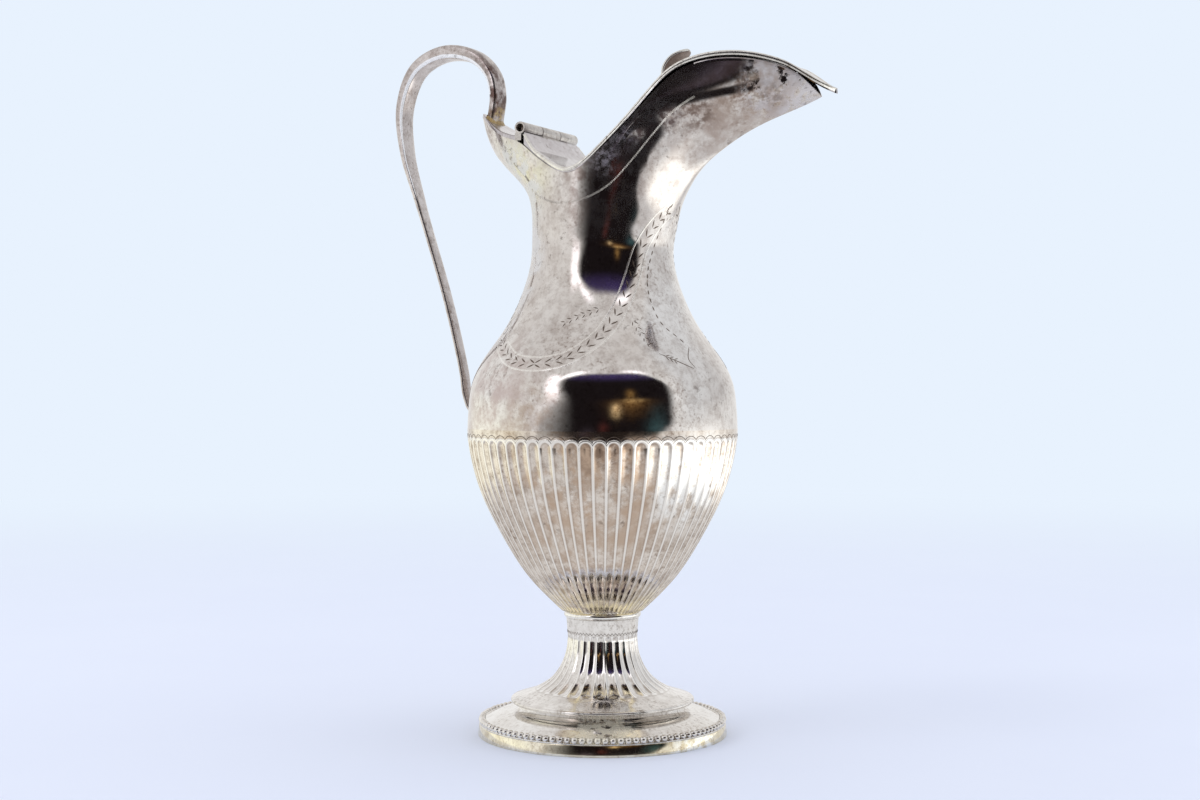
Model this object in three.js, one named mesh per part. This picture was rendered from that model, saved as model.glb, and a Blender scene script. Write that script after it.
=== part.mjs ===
// Covered silver milk jug with a helmet mouth, a hinged lid and a loop handle.
// Millimetres, +Z up, +X towards the spout, origin at the foot's centre on the table.
import * as THREE from "three";

// Clearances
const SOLDER_GAP = 0.25;
const LID_SEAT_GAP = 0.45;
const HINGE_GAP = 0.3;
const PIN_GAP = 0.08;

// Sheet metal
const BODY_SHEET = 0.9;
const STEM_SHEET = 0.9;
const FOOT_SHEET = 1.1;
const LID_SHEET = 1.2;

// Foot
const FOOT_RADIUS = 51.5;
const FOOT_RIM_HEIGHT = 4.7;
const FOOT_RIM_WIDTH = 4.2;
const FOOT_RIM_CHAMFER = 0.6;
const BEAD_COUNT = 104;
const BEAD_DIAMETER = 2.8;
const BEAD_OVERHANG = 0.3;
const FOOT_PLATE_EDGE = 1.9;
const FOOT_PLATE_RISE = 3.7;
const FOOT_PLATE_CROWN = 0.4;
const RECESS_RADIUS = 35.4;
const RECESS_HEIGHT = 2.5;

// Stem
const DISC_RADIUS = 37.9;
const DISC_EDGE = 1.8;
const DISC_SEAT_WIDTH = 2;
const STEM_HEIGHT = 32.8;
const STEM_WAIST_RADIUS = 14;
const STEM_TOP_RADIUS = 15;
const STEM_FLUTES = 30;
const STEM_FLUTE_DEPTH = 0.55;
const STEM_FLUTE_START = 3.2;
const STEM_FLUTE_END = 24.4;

// Collar under the bowl
const COLLAR_HEIGHT = 2.6;
const COLLAR_RADIUS = 15.9;
const COLLAR_WIDTH = 2.6;

// Body
const BOWL_BASE_RADIUS = 17;
const BOWL_HEIGHT = 75.2;
const GIRDLE_RADIUS = 56;
const BOWL_FLUTES = 64;
const BOWL_FLUTE_DEPTH = 0.85;
const FLUTE_TOP_MARGIN = 4;
const SHOULDER_HEIGHT = 73.6;
const NECK_RADIUS = 29;

// Helmet mouth above the neck
const HELMET_HEIGHT = 71.2;
const SPOUT_REACH = 95.6;
const BACK_REACH = 57.6;
const SADDLE_SETBACK = 3;
const MOUTH_HALF_WIDTH = 29.5;

// Lid and its hinge
const LID_TIP_REACH = 101.6;
const LID_TIP_RISE = 57;
const LID_LEAVES_RIM = 84;
const LID_EDGE_HEIGHT = 1.9;
const LID_EDGE_WIDTH = 1.6;
const LID_TIP_HALF_WIDTH = 0.8;
const LID_HINGE_RAMP = 7;
const REAR_PLATE_SHEET = 1.5;
const REAR_PLATE_RAMP = 4;
const REAR_PLATE_TAIL = 1.6;
const HINGE_SETBACK = 26;
const HINGE_RISE = 6.2;
const HINGE_LENGTH = 47;
const BARREL_RADIUS = 2.5;
const BORE_RADIUS = 1.6;
const PIN_RECESS = 2.5;

// Thumbpiece
const THUMB_SETFORWARD = 31.5;
const THUMB_HEIGHT = 20;
const THUMB_LEAN = 7.2;
const THUMB_BASE_WIDTH = 11;
const THUMB_WIDTH = 17;
const THUMB_THICKNESS = 2.2;

// Handle
const HANDLE_ROOT_SETBACK = 51;
const HANDLE_REACH = 97;
const HANDLE_TOP_RISE = 86.6;
const HANDLE_TAIL_RISE = 6;
const HANDLE_WIDTH = 10.2;
const HANDLE_THICKNESS = 3.6;
const HANDLE_CROWN_THICKNESS = 6.2;
const HANDLE_TAIL_WIDTH = 6.4;
const HANDLE_TAIL_THICKNESS = 2.6;

// Heights of the stacked pieces
const plateBottom = FOOT_RIM_HEIGHT + SOLDER_GAP;
const plateEdgeTop = plateBottom + FOOT_PLATE_EDGE;
const recessBase = plateEdgeTop + FOOT_PLATE_RISE;
const plateTop = recessBase + RECESS_HEIGHT;
const discBottom = plateTop + SOLDER_GAP;
const discTop = discBottom + DISC_EDGE;
const stemTop = discTop + STEM_HEIGHT;
const collarBottom = stemTop + SOLDER_GAP;
const collarTop = collarBottom + COLLAR_HEIGHT;
const bowlBase = collarTop + SOLDER_GAP;
const girdle = bowlBase + BOWL_HEIGHT;
const shoulderBase = girdle + SOLDER_GAP;
const neck = shoulderBase + SHOULDER_HEIGHT;

// A smooth function through points, carried on straight past both ends.
function through(points) {
  const slopes = points.map((point, i) => {
    const before = points[Math.max(i - 1, 0)];
    const after = points[Math.min(i + 1, points.length - 1)];
    return (after[1] - before[1]) / (after[0] - before[0]);
  });
  const last = points.length - 1;
  return (x) => {
    if (x <= points[0][0]) return points[0][1] + slopes[0] * (x - points[0][0]);
    if (x >= points[last][0]) return points[last][1] + slopes[last] * (x - points[last][0]);
    const i = points.findIndex((point) => point[0] > x) - 1;
    return hermite(points[i], slopes[i], points[i + 1], slopes[i + 1], x);
  };
}

function hermite(from, fromSlope, to, toSlope, x) {
  const span = to[0] - from[0];
  const t = (x - from[0]) / span;
  const ease = t * t * (3 - 2 * t);
  const start = t * (1 - t) * (1 - t) * span * fromSlope;
  const end = t * t * (t - 1) * span * toSlope;
  return from[1] + (to[1] - from[1]) * ease + start + end;
}

function slopeOf(f, x) {
  const step = 0.01;
  return (f(x + step) - f(x - step)) / (2 * step);
}

// A radius measured a sheet's thickness inside a sloping outer surface
function insetRadius(f, z, sheet) {
  return f(z) - sheet * Math.hypot(1, slopeOf(f, z));
}

// Closed solids from rings of points
function solid(triangles) {
  const volume = triangles.reduce((sum, [a, b, c]) => sum + a.dot(b.clone().cross(c)), 0);
  const facing = volume < 0 ? triangles.map(([a, b, c]) => [a, c, b]) : triangles;
  const geometry = new THREE.BufferGeometry().setFromPoints(facing.flat());
  geometry.computeVertexNormals();
  return geometry;
}

function band(lower, upper) {
  return lower.flatMap((point, i) => {
    const next = (i + 1) % lower.length;
    return [
      [point, lower[next], upper[next]],
      [point, upper[next], upper[i]],
    ];
  });
}

function bands(rings) {
  return rings.slice(1).flatMap((ring, i) => band(rings[i], ring));
}

function fan(ring, centre) {
  return ring.map((point, i) => [centre, ring[(i + 1) % ring.length], point]);
}

// Joins a coarse ring to a fine one that has a whole number of points for each coarse point.
function stitch(coarse, fine) {
  const share = fine.length / coarse.length;
  return coarse.flatMap((point, i) => {
    const next = coarse[(i + 1) % coarse.length];
    const run = Array.from({ length: share }, (unused, k) => {
      const at = i * share + k;
      return [point, fine[(at + 1) % fine.length], fine[at]];
    });
    return [...run, [point, next, fine[((i + 1) * share) % fine.length]]];
  });
}

function turnedOver(triangles) {
  return triangles.map(([a, b, c]) => [a, c, b]);
}

function middle(ring) {
  const sum = ring.reduce((total, point) => total.add(point), new THREE.Vector3());
  return sum.divideScalar(ring.length);
}

function capOf(ring) {
  return fan(ring, middle(ring));
}

function loft(rings) {
  return solid([...capOf(rings[0]), ...bands(rings), ...turnedOver(capOf(rings.at(-1)))]);
}

function circle(count, radiusAt, z) {
  return Array.from({ length: count }, (unused, i) => {
    const angle = (2 * Math.PI * i) / count;
    const radius = radiusAt(angle);
    return new THREE.Vector3(radius * Math.cos(angle), radius * Math.sin(angle), z);
  });
}

// A turned ring about Z from a closed outline of radius and height
function turned(outline, segments) {
  const points = [...outline, outline[0]].map(([radius, z]) => new THREE.Vector2(radius, z));
  return new THREE.LatheGeometry(points, segments).rotateX(Math.PI / 2);
}

// How deep a hollow flute is, from its rounded top or bottom end along to its middle
function fluteHollow(angle, flutes, toEnd, halfWidth) {
  const across = (((angle * flutes) / Math.PI) % 2) - 1;
  const inEnd = Math.max(0, 1 - Math.max(0, toEnd) / halfWidth);
  return Math.max(0, 1 - across * across - inEnd * inEnd);
}

// Foot
function footRim() {
  const inner = FOOT_RADIUS - FOOT_RIM_WIDTH;
  const outline = [
    [inner, 0],
    [FOOT_RADIUS - FOOT_RIM_CHAMFER, 0],
    [FOOT_RADIUS, FOOT_RIM_CHAMFER],
    [FOOT_RADIUS, FOOT_RIM_HEIGHT],
    [inner, FOOT_RIM_HEIGHT],
  ];
  return turned(outline, 72);
}

const beadRadius = BEAD_DIAMETER / 2;
const beadRing = FOOT_RADIUS - BEAD_OVERHANG - beadRadius;
const plateRadius = beadRing - beadRadius - SOLDER_GAP;

function beadBorder() {
  const sides = 6;
  const lowest = beadRadius * Math.cos(Math.PI / sides);
  const height = FOOT_RIM_HEIGHT + SOLDER_GAP + lowest;
  const necked = 0.5;
  const rings = Array.from({ length: 2 * BEAD_COUNT }, (unused, i) => {
    const around = (Math.PI * i) / BEAD_COUNT;
    const radius = i % 2 ? beadRadius : beadRadius * necked;
    return Array.from({ length: sides }, (empty, k) => {
      const turn = (2 * Math.PI * k) / sides;
      const out = beadRing + radius * Math.cos(turn);
      const z = height + radius * Math.sin(turn);
      return new THREE.Vector3(out * Math.cos(around), out * Math.sin(around), z);
    });
  });
  return solid(bands([...rings, rings[0]]));
}

function footPlate() {
  const halfway = (plateRadius + RECESS_RADIUS) / 2;
  const halfUp = (plateEdgeTop + recessBase) / 2 + FOOT_PLATE_CROWN;
  const outline = [
    [plateRadius, plateBottom],
    [plateRadius, plateEdgeTop],
    [halfway, halfUp],
    [RECESS_RADIUS, recessBase],
    [RECESS_RADIUS, plateTop],
    [RECESS_RADIUS - FOOT_SHEET, plateTop],
    [RECESS_RADIUS - FOOT_SHEET, recessBase - FOOT_SHEET],
    [halfway, halfUp - FOOT_SHEET],
    [plateRadius - FOOT_SHEET, plateEdgeTop - FOOT_SHEET],
    [plateRadius - FOOT_SHEET, plateBottom],
  ];
  return turned(outline, 64);
}

// Stem: a disc with a round edge, a fluted flare up to the waist and a plain top band
const discRound = DISC_EDGE / 2;
const discFlat = DISC_RADIUS - discRound;
const WAIST_SHARE = 0.65;
const flareShape = through([
  [0, 1],
  [0.079, 0.658],
  [0.21, 0.342],
  [0.338, 0.182],
  [0.463, 0.091],
  [0.588, 0.022],
  [WAIST_SHARE, 0],
]);

function stemRadius(z) {
  const share = (z - discTop) / STEM_HEIGHT;
  if (share < WAIST_SHARE) {
    return STEM_WAIST_RADIUS + (discFlat - STEM_WAIST_RADIUS) * flareShape(share);
  }
  const upper = (share - WAIST_SHARE) / (1 - WAIST_SHARE);
  return STEM_WAIST_RADIUS + (STEM_TOP_RADIUS - STEM_WAIST_RADIUS) * upper ** 1.5;
}

function stemFluteRing(z) {
  const start = discTop + STEM_FLUTE_START;
  const end = discTop + STEM_FLUTE_END;
  const halfWidth = (Math.PI * stemRadius(z)) / STEM_FLUTES;
  const toEnd = Math.min(z - start, end - z);
  const depth = toEnd > 0 ? STEM_FLUTE_DEPTH : 0;
  const radiusAt = (angle) =>
    stemRadius(z) - depth * fluteHollow(angle, STEM_FLUTES, toEnd, halfWidth);
  return circle(3 * STEM_FLUTES, radiusAt, z);
}

function flutedStem() {
  const fine = 3 * STEM_FLUTES;
  const plain = (radius, z) => circle(fine, () => radius, z);
  const coarse = (radius, z) => circle(STEM_FLUTES, () => radius, z);
  const edge = [-90, -30, 30, 90].map((degrees) => {
    const turn = THREE.MathUtils.degToRad(degrees);
    const radius = discFlat + discRound * Math.cos(turn);
    return plain(radius, discBottom + discRound + discRound * Math.sin(turn));
  });
  const fluteMiddle = (STEM_FLUTE_START + STEM_FLUTE_END) / 2;
  const levels = [
    STEM_FLUTE_START,
    STEM_FLUTE_START + 2.6,
    STEM_FLUTE_START + 6.5,
    fluteMiddle,
    STEM_FLUTE_END - 4,
    STEM_FLUTE_END - 1.2,
    STEM_FLUTE_END,
    (STEM_FLUTE_END + STEM_HEIGHT) / 2,
    STEM_HEIGHT,
  ];
  const outer = [...edge, ...levels.map((level) => stemFluteRing(discTop + level))];
  const within = STEM_SHEET + STEM_FLUTE_DEPTH;
  const innerLevels = levels.slice(1).map((level) => {
    const z = discTop + level;
    return coarse(insetRadius(stemRadius, z, within), z);
  });
  const inner = [coarse(discFlat - DISC_SEAT_WIDTH - FOOT_SHEET, discBottom), ...innerLevels];
  return solid([
    ...stitch(inner[0], outer[0]),
    ...bands(outer),
    ...turnedOver(stitch(inner.at(-1), outer.at(-1))),
    ...turnedOver(bands(inner)),
  ]);
}

function collarRing() {
  const half = COLLAR_HEIGHT / 2;
  const round = Array.from({ length: 5 }, (unused, i) => {
    const turn = (-Math.PI * (2 - i)) / 4;
    return [COLLAR_RADIUS - half + half * Math.cos(turn), collarBottom + half + half * Math.sin(turn)];
  });
  const inner = COLLAR_RADIUS - COLLAR_WIDTH;
  return turned([[inner, collarBottom], ...round, [inner, collarTop]], 40);
}

// Body of revolution up to the neck
const bowlShape = through([
  [0, 0],
  [0.113, 0.228],
  [0.222, 0.408],
  [0.442, 0.662],
  [0.661, 0.864],
  [0.882, 0.978],
  [1, 1],
]);
const shoulderShape = through([
  [0, 1],
  [0.1, 0.975],
  [0.25, 0.935],
  [0.383, 0.756],
  [0.551, 0.411],
  [0.72, 0.181],
  [0.887, 0.03],
  [1, 0],
]);

function bowlRadius(z) {
  return BOWL_BASE_RADIUS + (GIRDLE_RADIUS - BOWL_BASE_RADIUS) * bowlShape((z - bowlBase) / BOWL_HEIGHT);
}

function shoulderRadius(z) {
  const share = Math.min((z - shoulderBase) / SHOULDER_HEIGHT, 1);
  return NECK_RADIUS + (GIRDLE_RADIUS - NECK_RADIUS) * shoulderShape(share);
}

function flutedBowl() {
  const fluteTop = girdle - FLUTE_TOP_MARGIN;
  const halfWidth = (Math.PI * GIRDLE_RADIUS) / BOWL_FLUTES;
  const ring = (z) => {
    const depth = (BOWL_FLUTE_DEPTH * bowlRadius(z)) / GIRDLE_RADIUS;
    const toTop = fluteTop - z;
    const hollow = (angle) => (toTop > 0 ? fluteHollow(angle, BOWL_FLUTES, toTop, halfWidth) : 0);
    return circle(3 * BOWL_FLUTES, (angle) => bowlRadius(z) - depth * hollow(angle), z);
  };
  const shares = [0, 0.08, 0.2, 0.4, 0.62, 0.82];
  const levels = [
    ...shares.map((share) => bowlBase + share * (fluteTop - halfWidth - bowlBase)),
    fluteTop - halfWidth,
    fluteTop - 0.35 * halfWidth,
    fluteTop,
    girdle,
  ];
  const outer = levels.map(ring);
  const coarse = (radius, z) => circle(BOWL_FLUTES, () => radius, z);
  const floor = bowlBase + BODY_SHEET + BOWL_FLUTE_DEPTH;
  const within = BODY_SHEET + BOWL_FLUTE_DEPTH;
  const innerShares = [0.03, 0.12, 0.3, 0.5, 0.75, 0.9];
  const inner = innerShares.map((share) => {
    const z = floor + share * (girdle - floor);
    return coarse(insetRadius(bowlRadius, z, within), z);
  });
  inner.push(coarse(GIRDLE_RADIUS - BODY_SHEET, girdle));
  const under = coarse(BOWL_BASE_RADIUS - BODY_SHEET, bowlBase);
  return solid([
    ...fan(under, new THREE.Vector3(0, 0, bowlBase)),
    ...stitch(under, outer[0]),
    ...bands(outer),
    ...turnedOver(stitch(inner.at(-1), outer.at(-1))),
    ...turnedOver(bands(inner)),
    ...turnedOver(fan(inner[0], new THREE.Vector3(0, 0, floor))),
  ]);
}

// Helmet mouth: how far each level reaches to the front, the back and the sides
const frontShape = through([
  [0, 0],
  [0.225, 0.066],
  [0.394, 0.186],
  [0.507, 0.323],
  [0.662, 0.618],
  [0.785, 1],
  [0.944, 1.21],
  [1.1, 1.37],
]);
const backShape = through([
  [0, 0],
  [0.2, 0.01],
  [0.324, 0.11],
  [0.394, 0.26],
  [0.479, 0.5],
  [0.563, 0.71],
  [0.669, 0.87],
  [0.796, 0.97],
  [1.1, 1.12],
]);
const sideShape = through([
  [0, 0],
  [0.21, 0.2],
  [0.394, 0.615],
  [0.507, 0.8],
  [0.704, 0.92],
  [1.1, 1],
]);
// The rim's height over the mouth, from the back lip through the saddle to the spout's tip
const rimShape = through([
  [-1.02, 0.836],
  [-0.71, 0.681],
  [-0.42, 0.6],
  [-0.24, 0.5],
  [0, 0.398],
  [0.078, 0.429],
  [0.186, 0.565],
  [0.324, 0.761],
  [0.441, 0.917],
  [0.552, 0.982],
  [0.69, 1],
  [0.818, 0.972],
  [0.93, 0.905],
  [1, 0.787],
  [1.09, 0.62],
]);

function reach(shape, limit) {
  return (z) => {
    const share = (z - neck) / HELMET_HEIGHT;
    if (share <= 0) return shoulderRadius(z);
    return NECK_RADIUS + (limit - NECK_RADIUS) * shape(share);
  };
}

const frontReach = reach(frontShape, SPOUT_REACH);
const backReach = reach(backShape, BACK_REACH);
const sideReach = reach(sideShape, MOUTH_HALF_WIDTH);

function rimHeight(x) {
  const fromSaddle = x + SADDLE_SETBACK;
  const limit = fromSaddle < 0 ? BACK_REACH - SADDLE_SETBACK : SPOUT_REACH + SADDLE_SETBACK;
  return neck + HELMET_HEIGHT * rimShape(fromSaddle / limit);
}

// Each level is an oval that grows more pointed at the spout and, less so, at the back.
function pointedness(z, forward) {
  const share = THREE.MathUtils.smoothstep((z - neck) / HELMET_HEIGHT, 0.1, 0.8);
  const along = THREE.MathUtils.lerp(2, forward ? 1.6 : 1.8, share);
  const across = THREE.MathUtils.lerp(0.5, forward ? 0.95 : 0.8, share);
  return { along, across };
}

function skin(angle, z, sheet) {
  const cos = Math.cos(angle);
  const sin = Math.sin(angle);
  const forward = cos > 0;
  const { along, across } = pointedness(z, forward);
  const length = insetRadius(forward ? frontReach : backReach, z, sheet);
  const width = insetRadius(sideReach, z, sheet);
  const x = Math.sign(cos) * length * Math.abs(cos) ** (2 / along);
  const y = Math.sign(sin) * width * Math.abs(sin) ** (2 * across);
  return new THREE.Vector3(x, y, z);
}

function mouthHalfWidth(x) {
  const z = rimHeight(x);
  const { along, across } = pointedness(z, x > 0);
  const share = Math.abs(x) / (x > 0 ? frontReach(z) : backReach(z));
  return sideReach(z) * Math.max(0, 1 - share ** along) ** across;
}

// The level at which the wall at this angle meets the rim
function rimLevel(angle, sheet) {
  let low = neck;
  let high = neck + 1.1 * HELMET_HEIGHT;
  for (let i = 0; i < 40; i += 1) {
    const z = (low + high) / 2;
    if (rimHeight(skin(angle, z, sheet).x) > z) low = z;
    else high = z;
  }
  return low;
}

function neckAndSpout() {
  const columns = 60;
  const angles = Array.from({ length: columns }, (unused, i) => (2 * Math.PI * i) / columns);
  const shoulderShares = [0, 0.1, 0.2, 0.28, 0.36, 0.46, 0.57, 0.7, 0.85, 1];
  const helmetShares = [0.2, 0.4, 0.55, 0.68, 0.79, 0.88, 0.95, 1];
  const wall = (sheet) => {
    const tops = angles.map((angle) => rimLevel(angle, sheet));
    const lower = shoulderShares.map((share) => {
      const z = shoulderBase + share * SHOULDER_HEIGHT;
      return angles.map((angle) => skin(angle, z, sheet));
    });
    const upper = helmetShares.map((share) =>
      angles.map((angle, i) => skin(angle, neck + share * (tops[i] - neck), sheet)),
    );
    return [...lower, ...upper];
  };
  const outer = wall(0);
  const inner = wall(BODY_SHEET);
  return solid([
    ...band(inner[0], outer[0]),
    ...bands(outer),
    ...band(outer.at(-1), inner.at(-1)),
    ...turnedOver(bands(inner)),
  ]);
}

// Hinge
const hingeX = -HINGE_SETBACK;
const hingeZ = rimHeight(hingeX) + HINGE_RISE;
const knuckleLength = (HINGE_LENGTH - 2 * HINGE_GAP) / 3;
const leafReach = BARREL_RADIUS + HINGE_GAP;
// The lid and the rear plate both rise to meet the barrel from below, 45 degrees to each side.
const leafOffset = leafReach * Math.SQRT1_2;

function knuckle(index) {
  const half = knuckleLength / 2;
  const outline = [
    [BORE_RADIUS, -half],
    [BARREL_RADIUS, -half],
    [BARREL_RADIUS, half],
    [BORE_RADIUS, half],
    [BORE_RADIUS, -half],
  ].map(([radius, y]) => new THREE.Vector2(radius, y));
  const tube = new THREE.LatheGeometry(outline, 20);
  return tube.translate(hingeX, index * (knuckleLength + HINGE_GAP), hingeZ);
}

function hingePin() {
  const radius = BORE_RADIUS - PIN_GAP;
  const pin = new THREE.CylinderGeometry(radius, radius, HINGE_LENGTH - 2 * PIN_RECESS, 16);
  return pin.translate(hingeX, 0, hingeZ);
}

// A sheet lying along X with a straight edge on each side of the jug
function evenSteps(from, to, count) {
  return Array.from({ length: count + 1 }, (unused, i) => from + ((to - from) * i) / count);
}

const plateFront = hingeX - leafOffset;

function rearPlateTop(x) {
  const rise = hingeZ - leafOffset - rimHeight(plateFront) - SOLDER_GAP - REAR_PLATE_SHEET;
  const ramp = Math.max(0, 1 - (plateFront - x) / REAR_PLATE_RAMP);
  return rimHeight(x) + SOLDER_GAP + REAR_PLATE_SHEET + rise * ramp * ramp;
}

function rearPlate() {
  const back = -BACK_REACH + REAR_PLATE_TAIL;
  const stations = evenSteps(0, 1, 12).map((t) => plateFront + (back - plateFront) * Math.sin((t * Math.PI) / 2));
  const rings = stations.map((x) => {
    const half = mouthHalfWidth(x);
    const bottom = rimHeight(x) + SOLDER_GAP;
    const top = rearPlateTop(x);
    return [
      new THREE.Vector3(x, -half, bottom),
      new THREE.Vector3(x, half, bottom),
      new THREE.Vector3(x, half, top),
      new THREE.Vector3(x, 0, top),
      new THREE.Vector3(x, -half, top),
    ];
  });
  return loft(rings);
}

// Lid: a saddle sheet on a turned-down edge that follows the rim, then runs out past the spout
const lidBack = hingeX + leafOffset;

function lidSeat(x) {
  const onRim = (at) => rimHeight(at) + LID_SEAT_GAP;
  if (x < LID_LEAVES_RIM) return onRim(x);
  const from = [LID_LEAVES_RIM, onRim(LID_LEAVES_RIM)];
  const to = [LID_TIP_REACH, neck + LID_TIP_RISE];
  const tipSlope = -0.35;
  return hermite(from, slopeOf(onRim, LID_LEAVES_RIM - 0.1), to, tipSlope, x);
}

function lidTop(x) {
  const rise = hingeZ - leafOffset - lidSeat(lidBack) - LID_EDGE_HEIGHT;
  const ramp = Math.max(0, 1 - (x - lidBack) / LID_HINGE_RAMP);
  return lidSeat(x) + LID_EDGE_HEIGHT + rise * ramp * ramp;
}

function lidHalfWidth(x) {
  const onMouth = x < 0 ? x : (x * SPOUT_REACH) / LID_TIP_REACH;
  return Math.max(mouthHalfWidth(onMouth), LID_TIP_HALF_WIDTH);
}

function lidPanel() {
  const rings = evenSteps(lidBack, LID_TIP_REACH, 42).map((x) => {
    const half = lidHalfWidth(x);
    const lip = half - Math.min(LID_EDGE_WIDTH, half / 2);
    const bottom = lidSeat(x);
    const top = lidTop(x);
    const under = top - LID_SHEET;
    return [
      [-half, bottom],
      [-lip, bottom],
      [-lip, under],
      [lip, under],
      [lip, bottom],
      [half, bottom],
      [half, top],
      [-half, top],
    ].map(([y, z]) => new THREE.Vector3(x, y, z));
  });
  const end = (ring) => {
    const flat = ring.map((point) => new THREE.Vector2(point.y, point.z));
    return THREE.ShapeUtils.triangulateShape(flat, []).map((corners) => corners.map((i) => ring[i]));
  };
  return solid([...facing(end(rings[0]), -1), ...bands(rings), ...facing(end(rings.at(-1)), 1)]);
}

// Turns the triangles of a flat end so that they face along X by the given sign
function facing(triangles, sign) {
  return triangles.map(([a, b, c]) => {
    const normal = b.clone().sub(a).cross(c.clone().sub(a));
    return normal.x * sign < 0 ? [a, c, b] : [a, b, c];
  });
}

// Thumbpiece: a tongue that rises from the lid and leans towards the spout
function thumbpiece() {
  const widest = 0.6;
  const rings = evenSteps(0, 1, 9).map((t) => {
    const x = THUMB_SETFORWARD + THUMB_LEAN * t * t;
    const swell = THREE.MathUtils.smoothstep(t, 0, widest);
    const crown = t < widest ? 1 : Math.sqrt(1.02 - ((t - widest) / (1 - widest)) ** 2);
    const half = ((THUMB_BASE_WIDTH + (THUMB_WIDTH - THUMB_BASE_WIDTH) * swell) / 2) * crown;
    const thick = (THUMB_THICKNESS / 2) * (1 - 0.4 * t);
    const bevel = thick * 0.6;
    const outline = [
      [-thick, -half + bevel],
      [0, -half],
      [thick, -half + bevel],
      [thick, half - bevel],
      [0, half],
      [-thick, half - bevel],
    ];
    const standing = Math.min(1, 3 * t);
    return outline.map(([dx, y]) => {
      const onLid = lidTop(x + dx) + SOLDER_GAP;
      const level = lidTop(THUMB_SETFORWARD) + SOLDER_GAP;
      const base = onLid + (level - onLid) * standing;
      return new THREE.Vector3(x + dx, y, base + THUMB_HEIGHT * t);
    });
  });
  return loft(rings);
}

// Handle: a strap swept along a loop in the plane of the spout
function handlePath() {
  const rootX = -HANDLE_ROOT_SETBACK;
  const rootZ = rearPlateTop(rootX) + SOLDER_GAP;
  const tailZ = girdle + HANDLE_TAIL_RISE;
  const topZ = neck + HANDLE_TOP_RISE;
  const tailX = -(shoulderRadius(tailZ) + SOLDER_GAP);
  const loop = [
    [-0.03, 0.87],
    [0.02, 0.93],
    [0.2, 0.982],
    [0.53, 1],
    [0.833, 0.96],
    [0.985, 0.858],
    [0.958, 0.73],
    [0.82, 0.593],
    [0.51, 0.312],
    [0.34, 0.1165],
    [0.3, 0.046],
    [0.236, 0.006],
  ].map(([out, up]) => [rootX - out * (HANDLE_REACH + rootX), tailZ + up * (topZ - tailZ)]);
  const points = [[rootX, rootZ], ...loop, [tailX, tailZ]];
  return new THREE.CatmullRomCurve3(points.map(([x, z]) => new THREE.Vector3(x, 0, z)));
}

function handle() {
  const path = handlePath();
  const steps = 44;
  const rings = evenSteps(0, 1, steps).map((t) => {
    const centre = path.getPointAt(t);
    const along = path.getTangentAt(t);
    const outward = new THREE.Vector3(-along.z, 0, along.x);
    const taper = THREE.MathUtils.smoothstep(t, 0.36, 0.64);
    const width = THREE.MathUtils.lerp(HANDLE_WIDTH, HANDLE_TAIL_WIDTH, taper) / 2;
    const crown = THREE.MathUtils.smoothstep(t, 0, 0.2) - THREE.MathUtils.smoothstep(t, 0.2, 0.45);
    const strap = THREE.MathUtils.lerp(HANDLE_THICKNESS, HANDLE_CROWN_THICKNESS, crown);
    const thick = THREE.MathUtils.lerp(strap, HANDLE_TAIL_THICKNESS, taper) / 2;
    return Array.from({ length: 12 }, (unused, k) => {
      const turn = (2 * Math.PI * (k + 0.5)) / 12;
      const y = width * Math.sign(Math.cos(turn)) * Math.abs(Math.cos(turn)) ** 0.5;
      const out = thick * Math.sign(Math.sin(turn)) * Math.abs(Math.sin(turn)) ** 0.5;
      const point = centre.clone().addScaledVector(outward, out);
      point.y = y;
      return point;
    });
  });
  rings[0].forEach((point) => {
    point.z = rearPlateTop(point.x) + SOLDER_GAP;
  });
  rings.at(-1).forEach((point) => {
    point.x = -Math.sqrt((shoulderRadius(point.z) + SOLDER_GAP) ** 2 - point.y ** 2);
  });
  return loft(rings);
}

// Materials
function silver(colour, roughness) {
  return new THREE.MeshStandardMaterial({ color: colour, roughness, metalness: 1 });
}

const brightSilver = silver("#c9c4bd", 0.18);
const tarnishedSilver = silver("#b3a79f", 0.26);
const wornSilver = silver("#a79c90", 0.3);

const jug = new THREE.Group();
function add(name, geometry, material) {
  const mesh = new THREE.Mesh(geometry, material);
  mesh.name = name;
  jug.add(mesh);
}

add("foot_rim", footRim(), wornSilver);
add("bead_border", beadBorder(), wornSilver);
add("foot_plate", footPlate(), brightSilver);
add("fluted_stem", flutedStem(), brightSilver);
add("collar_ring", collarRing(), brightSilver);
add("fluted_bowl", flutedBowl(), tarnishedSilver);
add("neck_and_spout", neckAndSpout(), tarnishedSilver);
add("rear_plate", rearPlate(), brightSilver);
add("hinge_knuckle_near", knuckle(-1), wornSilver);
add("hinge_knuckle_lid", knuckle(0), wornSilver);
add("hinge_knuckle_far", knuckle(1), wornSilver);
add("hinge_pin", hingePin(), wornSilver);
add("lid_panel", lidPanel(), brightSilver);
add("thumbpiece", thumbpiece(), wornSilver);
add("handle", handle(), brightSilver);

export default jug;
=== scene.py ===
"""A covered silver milk jug with a helmet spout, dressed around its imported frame."""

import math

import bmesh
import bpy
import numpy as np
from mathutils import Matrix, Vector
from mathutils.bvhtree import BVHTree


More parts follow.
